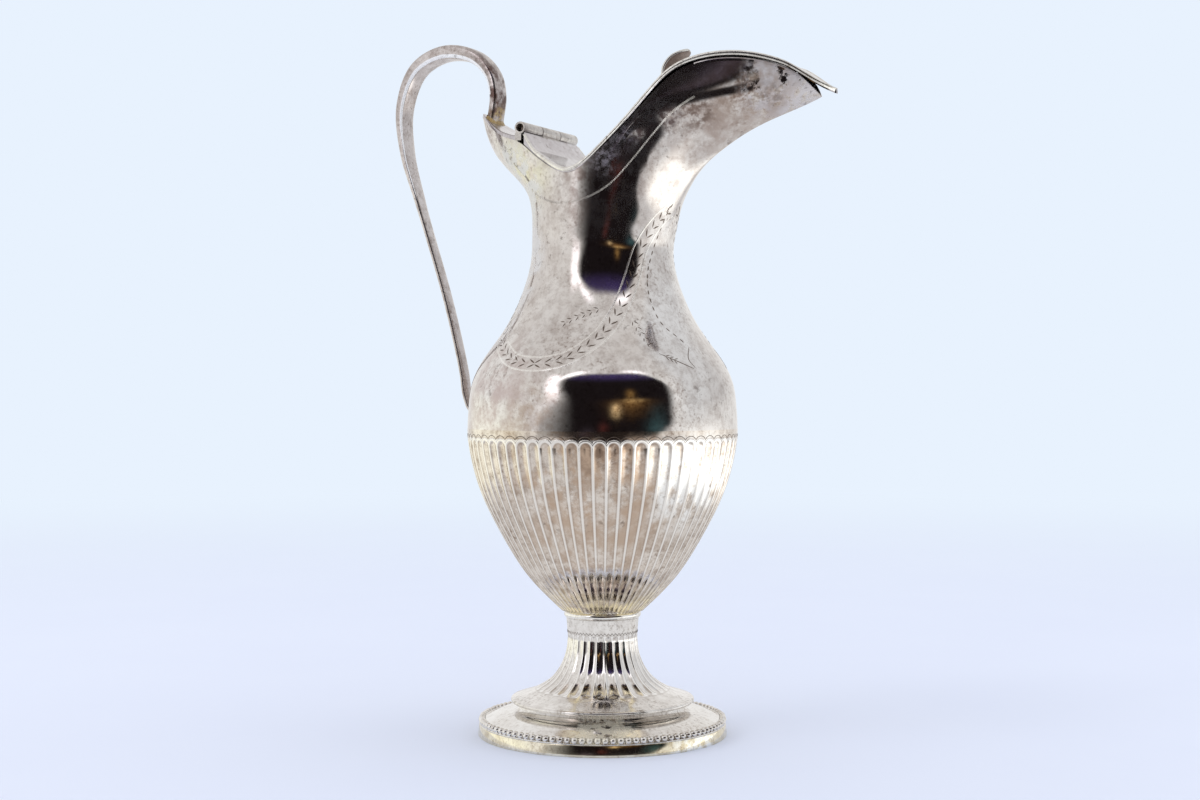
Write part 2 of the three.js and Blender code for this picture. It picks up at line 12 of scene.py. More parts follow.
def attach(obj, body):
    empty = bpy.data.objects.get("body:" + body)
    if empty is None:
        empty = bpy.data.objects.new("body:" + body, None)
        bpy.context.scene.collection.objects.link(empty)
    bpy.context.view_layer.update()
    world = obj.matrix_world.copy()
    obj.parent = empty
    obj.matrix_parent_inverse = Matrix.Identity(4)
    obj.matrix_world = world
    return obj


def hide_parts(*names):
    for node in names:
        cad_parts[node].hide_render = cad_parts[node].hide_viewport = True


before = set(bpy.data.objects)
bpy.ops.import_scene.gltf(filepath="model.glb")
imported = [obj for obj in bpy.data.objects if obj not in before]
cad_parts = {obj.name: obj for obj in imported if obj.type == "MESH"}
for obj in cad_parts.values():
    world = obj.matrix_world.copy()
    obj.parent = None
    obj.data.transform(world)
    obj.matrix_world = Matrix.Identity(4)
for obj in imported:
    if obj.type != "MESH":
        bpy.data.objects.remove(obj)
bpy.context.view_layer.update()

# Sizes, in millimetres
MM = 0.001
SHEET, FOOT_SHEET, STEM_SHEET, BOWL_SHEET = 0.9, 1.1, 1.45, 1.85
SOLDER_GAP = 0.25
FOOT_R, FOOT_RIM_H, FOOT_RIM_W = 51.5, 4.7, 4.2
BEADS, BEAD_R, BEAD_RING_R, BEAD_Z = 104, 1.4, 49.8, 6.16
PLATE_R, PLATE_LOW, PLATE_EDGE, PLATE_TOP = 48.15, 4.95, 6.85, 13.05
RECESS_R, RECESS_LOW, RECESS_IN = 35.4, 10.55, 1.8
DISC_R, DISC_LOW, DISC_TOP = 37.9, 13.3, 15.1
STEM_TOP, STEM_H, WAIST_R, STEM_TOP_R, STEM_NARROW = 47.9, 32.8, 14.4, 15.0, 36
STEM_FLUTES, STEM_FLUTE_DEPTH, STEM_FLUTE_LOW, STEM_FLUTE_HIGH = 30, 0.38, 18.3, 42.0
COLLAR_LOW, COLLAR_TOP, COLLAR_R, COLLAR_IN = 48.15, 50.75, 15.9, 13.3
BOWL_BASE, BOWL_BASE_R, BOWL_WIDENS, BOWL_FLOOR_R = 51.0, 17.0, 72, 12
GIRDLE_Z, GIRDLE_R = 126.2, 56.0
BOWL_FLUTES, BOWL_FLUTE_DEPTH, FLUTE_TOP = 64, 0.8, 122.2
NECK_Z, NECK_R, HELMET_H = 200.05, 29.0, 71.2
HELMET_LIMIT = NECK_Z + 1.1 * HELMET_H
SPOUT, BACK, MOUTH, SADDLE = 95.6, 57.6, 29.5, 3.0
LID_GAP, LID_EDGE, LID_LIP, LID_SHEET, LID_BEND = 0.45, 1.9, 1.6, 1.2, 7
LID_TIP, LID_TIP_Z, LID_LEAVES, LID_TIP_HALF, LID_NOSE = 101.6, 257.05, 84.0, 0.8, 88
LID_TIP_SLOPE, LID_EDGE_ROUND, EDGING_W = 0.35, 0.85, 0.75
REAR_EDGE, REAR_BEND, REAR_END, REAR_MIDDLE, REAR_END_HALF = 1.5, 4, -56.0, -32.5, 0.8
HINGE_X, HINGE_Z, HINGE_LENGTH, HINGE_GAP = -26.0, 249.004, 47.0, 0.3
BARREL_R, BORE_R, PIN_R, PIN_LENGTH = 2.5, 1.6, 1.52, 42.0
LEAF = (BARREL_R + HINGE_GAP) * math.sqrt(0.5)
THUMB_X, THUMB_BASE, THUMB_W, THUMB_T = 31.5, 11.0, 17.0, 2.2
ROOT_X, HANDLE_REACH, HANDLE_TOP, TAIL_Z = -51.0, 97.0, 286.65, 132.2
STRAP_W, STRAP_T, CROWN_T, TAIL_W, TAIL_T = 10.2, 3.6, 6.2, 6.4, 2.6


# Curves through measured points
def through(points):
    x, y = np.array(points, float).T
    slope = np.empty_like(y)
    slope[1:-1] = (y[2:] - y[:-2]) / (x[2:] - x[:-2])
    slope[0] = (y[1] - y[0]) / (x[1] - x[0])
    slope[-1] = (y[-1] - y[-2]) / (x[-1] - x[-2])

    def at(v):
        v = np.asarray(v, float)
        i = np.clip(np.searchsorted(x, v, side="right") - 1, 0, len(x) - 2)
        span = x[i + 1] - x[i]
        t = np.clip((v - x[i]) / span, 0, 1)
        level = y[i] + (y[i + 1] - y[i]) * t * t * (3 - 2 * t)
        level = level + t * (1 - t) ** 2 * span * slope[i] + t * t * (t - 1) * span * slope[i + 1]
        return level + np.minimum(v - x[0], 0) * slope[0] + np.maximum(v - x[-1], 0) * slope[-1]

    return at


def softened(f, low, high, sigma):
    step = 0.2
    v = np.arange(low - 4 * sigma, high + 4 * sigma + step, step)
    reach = int(4 * sigma / step)
    kernel = np.exp(-0.5 * (np.arange(-reach, reach + 1) * step / sigma) ** 2)
    smooth = np.convolve(f(v), kernel / kernel.sum(), mode="same")
    keep = slice(reach, len(v) - reach)
    return lambda u: np.interp(u, v[keep], smooth[keep])


def ease(v, low, high):
    t = np.clip((v - low) / (high - low), 0, 1)
    return t * t * (3 - 2 * t)


def squared_off(v, power):
    return np.sign(v) * np.abs(v) ** power


def unit(v):
    return v / np.linalg.norm(v, axis=-1, keepdims=True)


def full_turn(count):
    return np.linspace(0, 2 * math.pi, count, endpoint=False)


def stations(stops, counts):
    """Places from stop to stop, so many to each span, with each stop only once."""
    spans = [np.linspace(a, b, n)[:-1] for a, b, n in zip(stops, stops[1:], counts)]
    return np.append(np.concatenate(spans), stops[-1])


def lengths(line):
    """How far along a line each of its points lies."""
    return np.concatenate([[0], np.cumsum(np.linalg.norm(np.diff(line, axis=0), axis=1))])


def furthest(inside, low, high, steps):
    """The last value from low to high that is inside, by halving."""
    for _ in range(steps):
        middle = (low + high) / 2
        found = inside(middle)
        low = np.where(found, middle, low)
        high = np.where(found, high, middle)
    return low


# Body: a turned vase up to the neck, and above it an oval that reaches out to the spout and the back
bowl_shape = through(
    [(0, 0), (0.113, 0.228), (0.222, 0.408), (0.442, 0.662), (0.661, 0.864), (0.882, 0.978), (1, 1)]
)
shoulder_shape = through(
    [(0, 1), (0.1, 0.975), (0.25, 0.935), (0.383, 0.756), (0.551, 0.411), (0.72, 0.181)]
    + [(0.887, 0.03), (1, 0)]
)
front_shape = through(
    [(0, 0), (0.225, 0.066), (0.394, 0.186), (0.507, 0.323), (0.662, 0.618), (0.785, 1)]
    + [(0.944, 1.21), (1.1, 1.37)]
)
back_shape = through(
    [(0, 0), (0.2, 0.01), (0.324, 0.11), (0.394, 0.26), (0.479, 0.5), (0.563, 0.71), (0.669, 0.87)]
    + [(0.796, 0.97), (1.1, 1.12)]
)
side_shape = through([(0, 0), (0.21, 0.2), (0.394, 0.615), (0.507, 0.8), (0.704, 0.92), (1.1, 1)])
rim_shape = through(
    [(-1.02, 0.836), (-0.71, 0.681), (-0.42, 0.6), (-0.24, 0.5), (0, 0.398), (0.078, 0.429)]
    + [(0.186, 0.565), (0.324, 0.761), (0.441, 0.917), (0.552, 0.982), (0.69, 1), (0.818, 0.972)]
    + [(0.93, 0.905), (1, 0.787), (1.09, 0.62)]
)


def turned_raw(z):
    bowl = BOWL_BASE_R + (GIRDLE_R - BOWL_BASE_R) * bowl_shape((z - BOWL_BASE) / (GIRDLE_Z - BOWL_BASE))
    share = np.minimum((z - GIRDLE_Z) / (NECK_Z - GIRDLE_Z), 1)
    shoulder = NECK_R + (GIRDLE_R - NECK_R) * shoulder_shape(share)
    return np.where(z < GIRDLE_Z, bowl, shoulder)


turned_radius = softened(turned_raw, BOWL_BASE - 2, NECK_Z + 2, 3.6)


def reach(shape, limit):
    def at(z):
        share = (z - NECK_Z) / HELMET_H
        return np.where(share <= 0, turned_radius(z), NECK_R + (limit - NECK_R) * shape(share))

    return softened(at, BOWL_BASE, HELMET_LIMIT, 2.2)


front_reach = reach(front_shape, SPOUT)
back_reach = reach(back_shape, BACK)
side_reach = reach(side_shape, MOUTH)


def rim_raw(x):
    along = x + SADDLE
    return NECK_Z + HELMET_H * rim_shape(along / np.where(along < 0, BACK - SADDLE, SPOUT + SADDLE))


rim_height = softened(rim_raw, -64, 108, 1.6)


def pointedness(z, forward):
    share = ease((z - NECK_Z) / HELMET_H, 0.1, 0.8)
    along = 2 + (np.where(forward, 1.6, 1.8) - 2) * share
    across = 0.5 + (np.where(forward, 0.95, 0.8) - 0.5) * share
    return along, across


def inset(f, z, sheet):
    slope = f(z + 0.5) - f(z - 0.5)
    return f(z) - sheet * np.hypot(1, slope)


def skin(angle, z, sheet):
    c, s = np.cos(angle), np.sin(angle)
    along, across = pointedness(z, c > 0)
    length = np.where(c > 0, inset(front_reach, z, sheet), inset(back_reach, z, sheet))
    x = np.sign(c) * length * np.abs(c) ** (2 / along)
    y = np.sign(s) * inset(side_reach, z, sheet) * np.abs(s) ** (2 * across)
    return np.stack([x, y, z + 0 * x], -1)


def half_width(x, z):
    along, across = pointedness(z, x > 0)
    share = np.minimum(np.abs(x) / np.where(x > 0, front_reach(z), back_reach(z)), 1)
    return side_reach(z) * (1 - share**along) ** across


def mouth_half_width(x):
    return half_width(x, rim_height(x))


def rim_level(angle, sheet):
    low, high = np.full_like(angle, NECK_Z), np.full_like(angle, HELMET_LIMIT)
    return furthest(lambda z: rim_height(skin(angle, z, sheet)[..., 0]) > z, low, high, 40)


# The body's surface at a bearing round the axis, counted from the spout, and the way it faces there
def on_body(bearing, z):
    bearing, z = np.asarray(bearing, float), np.asarray(z, float)
    c, s = np.cos(bearing), np.sin(bearing)
    low, high = np.zeros_like(z), np.full_like(z, 120.0)
    r = furthest(lambda r: np.abs(r * s) < half_width(r * c, z), low, high, 44)
    return np.stack([r * c, r * s, z], -1)


def body_facing(bearing, z):
    turn, rise = 0.004, 0.15
    around = on_body(bearing + turn, z) - on_body(bearing - turn, z)
    up = on_body(bearing, z + rise) - on_body(bearing, z - rise)
    return unit(np.cross(around, up))


# Meshes
def add_piece(name, shape, material, node=None, body="jug", sharp=40):
    """A piece from points in millimetres, faces and, for some, how hollow each point is to look."""
    points, faces, *sunk = shape
    mesh = bpy.data.meshes.new(name)
    mesh.from_pydata((np.asarray(points, float).reshape(-1, 3) * MM).tolist(), [], faces)
    for values in sunk:
        depth = mesh.attributes.new("hollow", "FLOAT", "POINT")
        depth.data.foreach_set("value", np.asarray(values, np.float32))
    bm = bmesh.new()
    bm.from_mesh(mesh)
    bmesh.ops.remove_doubles(bm, verts=bm.verts, dist=1e-7)
    bmesh.ops.recalc_face_normals(bm, faces=bm.faces)
    bm.to_mesh(mesh)
    bm.free()
    mesh.shade_smooth()
    mesh.set_sharp_from_angle(angle=math.radians(sharp))
    mesh.materials.append(material)
    piece = bpy.data.objects.new(name, mesh)
    bpy.context.scene.collection.objects.link(piece)
    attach(piece, body)
    if node:
        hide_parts(node)


def loft(rings, loop=False):
    """A skin over rings of points, capped at both ends or closed from the last ring to the first."""
    rings = np.asarray(rings, float)
    rows, columns = rings.shape[:2]
    points = rings.reshape(-1, 3)
    faces = []
    for i in range(rows if loop else rows - 1):
        here, there = i * columns, (i + 1) % rows * columns
        for j in range(columns):
            k = (j + 1) % columns
            faces.append((here + j, here + k, there + k, there + j))
    if not loop:
        points = np.concatenate([points, np.stack([rings[0].mean(0), rings[-1].mean(0)])])
        top = (rows - 1) * columns
        for j in range(columns):
            k = (j + 1) % columns
            faces.append((rows * columns, k, j))
            faces.append((rows * columns + 1, top + j, top + k))
    return points, faces


def joined(shapes):
    points, faces, start = [], [], 0
    for made, sheet in shapes:
        faces += [tuple(start + k for k in face) for face in sheet]
        points.append(made)
        start += len(made)
    return np.concatenate(points), faces


def ring(radius, z, count):
    angle = full_turn(count)
    radius = np.broadcast_to(radius, angle.shape)
    return np.stack([radius * np.cos(angle), radius * np.sin(angle), np.full(count, float(z))], -1)


def turned(outline, count=320):
    return loft([ring(r, z, count) for r, z in outline], loop=True)


def rounded(outline, radius, steps=4):
    made = []
    for i, corner in enumerate(outline):
        p, a, b = np.array(corner), np.array(outline[i - 1]), np.array(outline[(i + 1) % len(outline)])
        back, ahead = np.linalg.norm(a - p), np.linalg.norm(b - p)
        size = min(radius, 0.45 * back, 0.45 * ahead)
        start = p + (a - p) / back * size
        end = p + (b - p) / ahead * size
        for t in np.linspace(0, 1, steps):
            made.append((1 - t) ** 2 * start + 2 * t * (1 - t) * p + t * t * end)
    return made


# Materials: silver under tarnish that differs from piece to piece, with painted highlights, painted
# reflections and painted shade in some placed patches
def new_material(name):
    material = bpy.data.materials.new(name)
    material.use_nodes = True
    tree = material.node_tree
    return material, tree, tree.nodes["Principled BSDF"]


def wire(tree, node, inputs):
    """Sets a node's inputs to values, or links them where a socket is given."""
    for name, value in inputs.items():
        if isinstance(value, bpy.types.NodeSocket):
            tree.links.new(value, node.inputs[name])
        else:
            node.inputs[name].default_value = value


def add_node(tree, kind, inputs=None, **settings):
    node = tree.nodes.new("ShaderNode" + kind)
    for name, value in settings.items():
        setattr(node, name, value)
    wire(tree, node, inputs or {})
    return node


def maths(tree, operation, *values, clamp=False):
    node = add_node(tree, "Math", dict(enumerate(values)), operation=operation, use_clamp=clamp)
    return node.outputs[0]


def noise(tree, place, scale, detail, rough=0.55):
    inputs = {"Vector": place, "Scale": scale, "Detail": detail, "Roughness": rough}
    return add_node(tree, "TexNoise", inputs).outputs["Fac"]


def ramp(tree, value, stops):
    node = add_node(tree, "ValToRGB", {"Fac": value})
    elements = node.color_ramp.elements
    while len(elements) < len(stops):
        elements.new(0.5)
    for element, (place, colour) in zip(elements, stops):
        element.position = place
        element.color = (*colour, 1) if isinstance(colour, tuple) else (colour, colour, colour, 1)
    return node.outputs["Color"]


def near_place(tree, place, centre, size, strength):
    """How close the surface is to a place, broken up into clouds."""
    apart = add_node(tree, "VectorMath", {0: place, 1: [v * MM for v in centre]}, operation="DISTANCE")
    span = {"From Min": size * MM, "From Max": size * MM * 0.15, "To Max": strength}
    inputs = {"Value": apart.outputs["Value"], **span}
    near = add_node(tree, "MapRange", inputs, interpolation_type="SMOOTHSTEP")
    clouds = noise(tree, place, 4200 / size, 6, 0.66)
    cover = ramp(tree, clouds, [(0.42, 0.0), (0.51, 0.5), (0.60, 1.0)])
    return maths(tree, "MULTIPLY", near.outputs["Result"], cover, clamp=True)


def stained(tree, share, colour, shade):
    inputs = {"Factor": share, "A": colour, "B": (*shade, 1)}
    return add_node(tree, "Mix", inputs, data_type="RGBA").outputs["Result"]


FILM_ROUGH, DENT_DEPTH, SPOT_SHADE = 0.45, 0.0003, 0.55


def silver(name, pale, tint, deep, rough, bump=0.08, mottled=0.45, patches=(), ridge=None, metal=1.0):
    """Silver under tarnish: a broad tint, clouds, grain, dark spots, placed patches and fine dents."""
    material, tree, shader = new_material(name)
    place = add_node(tree, "TexCoord").outputs["Object"]

    def scattered(stops, *kind):
        return ramp(tree, noise(tree, place, *kind), stops)

    colour = scattered([(0.40, pale), (0.60, tint)], 26, 5)
    clouds = noise(tree, place, 210, 9, 0.74)
    dim = ramp(tree, clouds, [(0.46, 0.0), (0.56, mottled * 0.5), (0.66, mottled)])
    colour = stained(tree, dim, colour, deep)
    grain = scattered([(0.47, 0.0), (0.59, 0.32), (0.66, 0.85)], 700, 4, 0.6)
    broken = maths(tree, "MULTIPLY", grain, scattered([(0.42, 0.15), (0.62, 1.0)], 60, 3))
    colour = stained(tree, broken, colour, deep)
    spots = scattered([(0.57, 0.0), (0.63, 0.6), (0.70, 0.9)], 360, 7, 0.7)
    spots = maths(tree, "MULTIPLY", spots, scattered([(0.46, 0.05), (0.62, 1.0)], 48, 4, 0.6))
    covered = None
    for centre, size, strength, shade, film in patches:
        share = near_place(tree, place, centre, size, strength)
        colour = stained(tree, share, colour, shade)
        dulled = maths(tree, "MULTIPLY", share, film)
        covered = maths(tree, "MAXIMUM", covered, dulled) if covered else dulled
    colour = stained(tree, spots, colour, tuple(SPOT_SHADE * v for v in deep))
    if ridge:
        sunk = add_node(tree, "Attribute", attribute_name="hollow").outputs["Fac"]
        flank = ramp(tree, sunk, [(0.22, 0.0), (0.40, 0.4), (0.75, 0.0)])
        colour = stained(tree, flank, colour, deep)
        colour = stained(tree, ramp(tree, sunk, [(0.12, 0.9), (0.42, 0.0)]), colour, ridge)
    span = {"From Min": 0.35, "From Max": 0.72, "To Min": rough[0], "To Max": rough[1]}
    matt = add_node(tree, "MapRange", {"Value": clouds, **span}).outputs["Result"]
    wire(tree, shader, {"Metallic": metal})
    if covered:
        matt = maths(tree, "MULTIPLY_ADD", covered, FILM_ROUGH, matt)
        bare = add_node(tree, "MapRange", {"Value": covered, "To Min": metal, "To Max": metal - 1.0})
        wire(tree, shader, {"Metallic": bare.outputs["Result"]})
    dents = noise(tree, place, 75, 4, 0.5)
    relief = add_node(tree, "Bump", {"Strength": bump, "Distance": DENT_DEPTH, "Height": dents})
    wire(tree, shader, {"Base Color": colour, "Roughness": matt, "Normal": relief.outputs["Normal"]})
    return material


# A patch has a centre and a size in millimetres, a strength, a shade and how dull a film it leaves
BROWN, GREENISH, ROSY = (0.40, 0.30, 0.23), (0.66, 0.65, 0.50), (0.57, 0.475, 0.455)
PAINTED_DARK_REFLECTION, PAINTED_SHEEN = (0.15, 0.112, 0.105), (0.60, 0.55, 0.62)
BODY_SILVER = silver(
    "body_silver", (0.83, 0.81, 0.79), (0.68, 0.64, 0.61), (0.32, 0.26, 0.23), (0.05, 0.13), mottled=0.5,
    patches=[
        ((83, -9, 260), 21, 4.0, (0.66, 0.615, 0.59), 0.7),
        ((54, -16, 253), 42, 0.7, (0.38, 0.295, 0.255), 0.04),
        ((73, -12, 259), 24, 0.75, BROWN, 0.04),
        ((66, -15, 259), 12, 1.2, (0.26, 0.19, 0.155), 0.05),
        ((60, -13, 251), 14, 0.6, (0.34, 0.26, 0.215), 0.05),
        ((49, -17, 252), 13, 1.3, (0.22, 0.165, 0.14), 0.06),
        ((78, -10, 256), 9, 1.0, (0.28, 0.22, 0.185), 0.05),
        ((12, -27, 224), 26, 0.9, (0.27, 0.2, 0.175), 0.06),
        # Painted dark reflection: near-black patches under the rim on the near side
        ((22, -24, 236), 11, 1.5, PAINTED_DARK_REFLECTION, 0.1),
        ((28, -23, 243), 12, 1.6, PAINTED_DARK_REFLECTION, 0.1),
        ((37, -21, 249.5), 11, 1.4, PAINTED_DARK_REFLECTION, 0.1),
        # Painted lavender sheen in the dark band under the rim
        ((14, -27, 234), 10, 0.8, PAINTED_SHEEN, 0.3),
        ((21, -25.6, 241.5), 9, 0.7, PAINTED_SHEEN, 0.25),
        ((-27, -20, 236), 30, 0.75, GREENISH, 0.0),
        ((-33, -10, 222), 28, 5.0, (0.73, 0.71, 0.65), 0.7),
        ((-34, -12, 192), 30, 5.0, (0.72, 0.695, 0.67), 0.7),
        ((-39, -19, 169), 23, 5.0, (0.71, 0.68, 0.66), 0.65),
        ((-26, -48, 137), 40, 0.75, ROSY, 0.0),
        ((-3, -55, 133), 18, 0.6, BROWN, 0.05),
        ((40, 22, 240), 38, 0.6, BROWN, 0.04),
        ((-53, -7, 250), 12, 0.9, (0.2, 0.13, 0.085), 0.05),
    ],
)
BOWL_SILVER = silver(
    "bowl_silver", (0.82, 0.765, 0.705), (0.68, 0.61, 0.54), (0.27, 0.20, 0.155), (0.06, 0.16), mottled=0.75,
    patches=[
        ((0, 0, 51), 36, 2.2, (0.94, 0.83, 0.57), 0.0),
        ((20, -49, 110), 52, 1.25, (0.52, 0.385, 0.285), 0.04),
        # Painted shade in the flute tops at the front
        ((26, -49, 121), 24, 1.0, (0.24, 0.165, 0.12), 0.05),
        ((14, -38, 84), 40, 0.9, (0.55, 0.425, 0.33), 0.04),
        # Painted highlight on the bowl's right side
        ((52, -18, 104), 31, 1.8, (0.94, 0.935, 0.915), 0.0),
    ],
    ridge=(0.90, 0.875, 0.84),
)
LID_SILVER = silver(
    "lid_silver", (0.67, 0.655, 0.68), (0.56, 0.535, 0.555), (0.33, 0.27, 0.265), (0.08, 0.20), mottled=0.38
)
FOOT_SILVER = silver(
    "foot_silver", (0.90, 0.89, 0.87), (0.80, 0.775, 0.74), (0.42, 0.36, 0.31), (0.06, 0.16), mottled=0.24,
    # The patch is a painted sheen: a pale matt film that lightens the plate in front of the cove, where it
    # mirrors the dark room
    patches=[((19, -38, 9.5), 16, 5.0, (0.80, 0.76, 0.66), 0.38)],
)
STEM_SILVER = silver(
    "stem_silver", (0.89, 0.87, 0.845), (0.79, 0.765, 0.735), (0.36, 0.31, 0.27), (0.06, 0.16), mottled=0.36,
    ridge=(0.94, 0.93, 0.915),
)
BASE_SILVER = silver(
    "base_silver", (0.87, 0.83, 0.71), (0.79, 0.71, 0.52), (0.32, 0.23, 0.15), (0.06, 0.14), 0.06,
    # The patch is a painted highlight on the right of the foot band
    patches=[((49, -15, 3), 18, 1.8, (0.95, 0.94, 0.87), 0.0)],
)
HANDLE_SILVER = silver(
    "handle_silver", (0.70, 0.655, 0.64), (0.56, 0.51, 0.495), (0.25, 0.195, 0.17), (0.13, 0.26), mottled=0.6,
    patches=[
        ((-48, 0, 270), 30, 1.2, (0.12, 0.075, 0.065), 0.05),
        ((-51, 0, 258), 7, 1.2, (0.50, 0.38, 0.17), 0.05),
    ],
    metal=0.9,
)
HINGE_SILVER = silver(
    "hinge_silver", (0.70, 0.685, 0.66), (0.53, 0.50, 0.475), (0.22, 0.175, 0.145), (0.14, 0.30)
)
THUMB_SILVER = silver(
    "thumb_silver", (0.34, 0.26, 0.215), (0.22, 0.16, 0.125), (0.08, 0.055, 0.04), (0.2, 0.4),
    ridge=(0.78, 0.775, 0.74),
)
LINE_SILVER = silver(
    "line_silver", (0.92, 0.905, 0.88), (0.82, 0.79, 0.75), (0.48, 0.42, 0.37), (0.24, 0.40), mottled=0.25
)
EDGE_SILVER = silver(
    "edge_silver", (0.92, 0.91, 0.87), (0.80, 0.785, 0.74), (0.36, 0.31, 0.26), (0.22, 0.36), mottled=0.4
)
# Painted highlight for the handle's edges: pale and nearly matt
HIGHLIGHT_EDGE_SILVER = silver(
    "painted_highlight_edge", (0.99, 0.98, 0.97), (0.95, 0.94, 0.93), (0.78, 0.74, 0.70), (0.3, 0.45), mottled=0.15,
    metal=0.15,
)
# Near-black: the colour of engraved lines, and painted shade on the hinge pin
GROOVE_AND_SHADE_SILVER = silver(
    "groove_and_shade_silver", (0.24, 0.195, 0.17), (0.15, 0.12, 0.10), (0.07, 0.052, 0.045), (0.25, 0.42)
)
SOLDER = silver(
    "solder", (0.62, 0.49, 0.27), (0.42, 0.30, 0.14), (0.13, 0.085, 0.05), (0.25, 0.45), 0.3, 0.6
)


# Foot: a flat band to stand on, a row of beads and a dished plate
rim_inner = FOOT_R - FOOT_RIM_W
foot_rim = rounded(
    [(rim_inner, 0), (FOOT_R, 0), (FOOT_R, 0.7), (FOOT_R - 0.5, FOOT_RIM_H), (rim_inner, FOOT_RIM_H)], 0.28
)
add_piece("foot_rim_band", turned(foot_rim), BASE_SILVER, "foot_rim")


def bead_row():
    rows, sides = 9, 14
    beads = []
    for i in range(BEADS):
        around = 2 * math.pi * i / BEADS
        centre = np.array([BEAD_RING_R * math.cos(around), BEAD_RING_R * math.sin(around), BEAD_Z])
        size = BEAD_R * (1 + 0.04 * math.sin(i * 2.3) + 0.03 * math.sin(i * 5.1))
        lift = np.linspace(-1.25, 1.57, rows)[:-1]
        rings = np.stack([ring(math.cos(a) * size, math.sin(a) * size, sides) for a in lift]) + centre
        beads.append(loft(rings))
    return joined(beads)


add_piece("bead_row", bead_row(), FOOT_SILVER, "bead_border")
bead_seat = rounded(
    [(47.9, FOOT_RIM_H), (51.0, FOOT_RIM_H), (51.0, 5.15), (48.6, 5.5), (48.4, 6.9), (47.9, 6.9)], 0.2, 3
)
add_piece("bead_seat", turned(bead_seat), FOOT_SILVER)

halfway = (PLATE_R + RECESS_R) / 2
half_up = (PLATE_EDGE + RECESS_LOW) / 2 + 0.4
plate_top = through([(RECESS_R, RECESS_LOW), (halfway, half_up), (PLATE_R - 0.4, PLATE_EDGE)])
plate_line = [(r, float(plate_top(r))) for r in np.linspace(PLATE_R - 0.5, RECESS_R + 0.8, 14)]
cove = [(RECESS_R + out, RECESS_LOW + up) for out, up in ((0.25, 0.2), (-0.3, 0.75), (-0.75, 1.6))]
recess_inner = RECESS_R - RECESS_IN
foot_plate = (
    [(PLATE_R, PLATE_LOW), (PLATE_R, PLATE_EDGE - 0.35), (PLATE_R - 0.2, PLATE_EDGE - 0.05)]
    + plate_line
    + cove
    + [(RECESS_R - 1.0, PLATE_TOP), (recess_inner, PLATE_TOP), (recess_inner, RECESS_LOW - FOOT_SHEET)]
    + [(r, z - FOOT_SHEET) for r, z in plate_line[::-3]]
    + [(PLATE_R - FOOT_SHEET, PLATE_EDGE - 1.2), (PLATE_R - FOOT_SHEET, PLATE_LOW)]
)
add_piece("foot_dish", turned(foot_plate), FOOT_SILVER, "foot_plate")


# Stem: a round-edged disc, a fluted flare and a plain band at the top
FLARE_END, FLUTE_WIDTH, PLAIN, FLUTE_SIDES = 0.74, 0.94, 0.8, 14
DISC_ROUND = (DISC_TOP - DISC_LOW) / 2
DISC_FLAT = DISC_R - DISC_ROUND
flare_shape = through(
    [(0, 1), (0.079, 0.658), (0.21, 0.342), (0.338, 0.178), (0.463, 0.082), (0.588, 0.026), (FLARE_END, 0)]
)


def stem_radius(z):
    share = (z - DISC_TOP) / STEM_H
    flare = WAIST_R + (DISC_FLAT - WAIST_R) * flare_shape(np.minimum(share, FLARE_END))
    upper = np.maximum(share - FLARE_END, 0) / (1 - FLARE_END)
    return flare + (STEM_TOP_R - WAIST_R) * upper**1.5


def hollow(angle, flutes, to_end, half):
    """How deep a place lies in its round-ended flute, from 0 on the ridge to 1 in the middle."""
    across = (np.mod(angle * flutes / math.pi, 2) - 1) / FLUTE_WIDTH
    in_end = np.maximum(0, 1 - np.maximum(0, to_end) / half)
    return np.maximum(0, 1 - across**2 - in_end**2) * (to_end > 0)


def lining(radius_at, sheet, levels, count):
    return [ring(inset(radius_at, z, sheet), z, count) for z in levels]


def fluted_stem():
    count = STEM_FLUTES * FLUTE_SIDES
    angle = full_turn(count)
    rings, depths = [], []
    for turn in np.radians([-90, -60, -30, 0, 30, 60, 85]):
        edge_z = DISC_LOW + DISC_ROUND * (1 + math.sin(turn))
        rings.append(ring(DISC_FLAT + DISC_ROUND * math.cos(turn), edge_z, count))
        depths.append(np.full(count, PLAIN))
    stops = [DISC_TOP + 0.15, STEM_FLUTE_LOW + 3, STEM_NARROW, STEM_FLUTE_HIGH, STEM_TOP + 0.1]
    for z in stations(stops, [22, 20, 16, 8]):
        radius = stem_radius(z)
        half = math.pi * radius / STEM_FLUTES
        slope = abs(stem_radius(z + 0.1) - stem_radius(z - 0.1)) / 0.2
        start = (z - STEM_FLUTE_LOW) * math.hypot(1, min(slope, 3))
        to_end = min(start, STEM_FLUTE_HIGH - z)
        flared = 1 + 2.2 * ease(radius, 14, 25)
        depth = STEM_FLUTE_DEPTH * flared * ease(to_end, -0.3, 1.8)
        sunk = hollow(angle, STEM_FLUTES, to_end, half)
        rings.append(ring(radius - depth * sunk, z, count))
        depths.append(np.maximum(sunk, PLAIN * (1 - ease(to_end, 0, 0.6))))
    rings += lining(stem_radius, STEM_SHEET, np.linspace(STEM_TOP, DISC_TOP + 2, 18), count)
    rings.append(ring(DISC_FLAT - 3.1, DISC_LOW, count))
    points, faces = loft(rings, loop=True)
    return points, faces, np.concatenate([*depths, np.zeros(len(points) - len(depths) * count)])


add_piece("stem_flare", fluted_stem(), STEM_SILVER, "fluted_stem", sharp=50)
half_collar = (COLLAR_TOP - COLLAR_LOW) / 2
collar = [(COLLAR_IN, COLLAR_LOW - 0.2)]
for turn in np.linspace(-math.pi / 2, math.pi / 2, 17):
    level = COLLAR_LOW + half_collar * (1 + 1.15 * math.sin(turn))
    collar.append((COLLAR_R - half_collar + half_collar * math.cos(turn), level))
collar.append((COLLAR_IN, COLLAR_TOP + 0.2))
add_piece("collar_bead", turned(collar, 200), FOOT_SILVER, "collar_ring")


# Bowl with round-ended flutes
HALF_FLUTE = math.pi * GIRDLE_R / BOWL_FLUTES


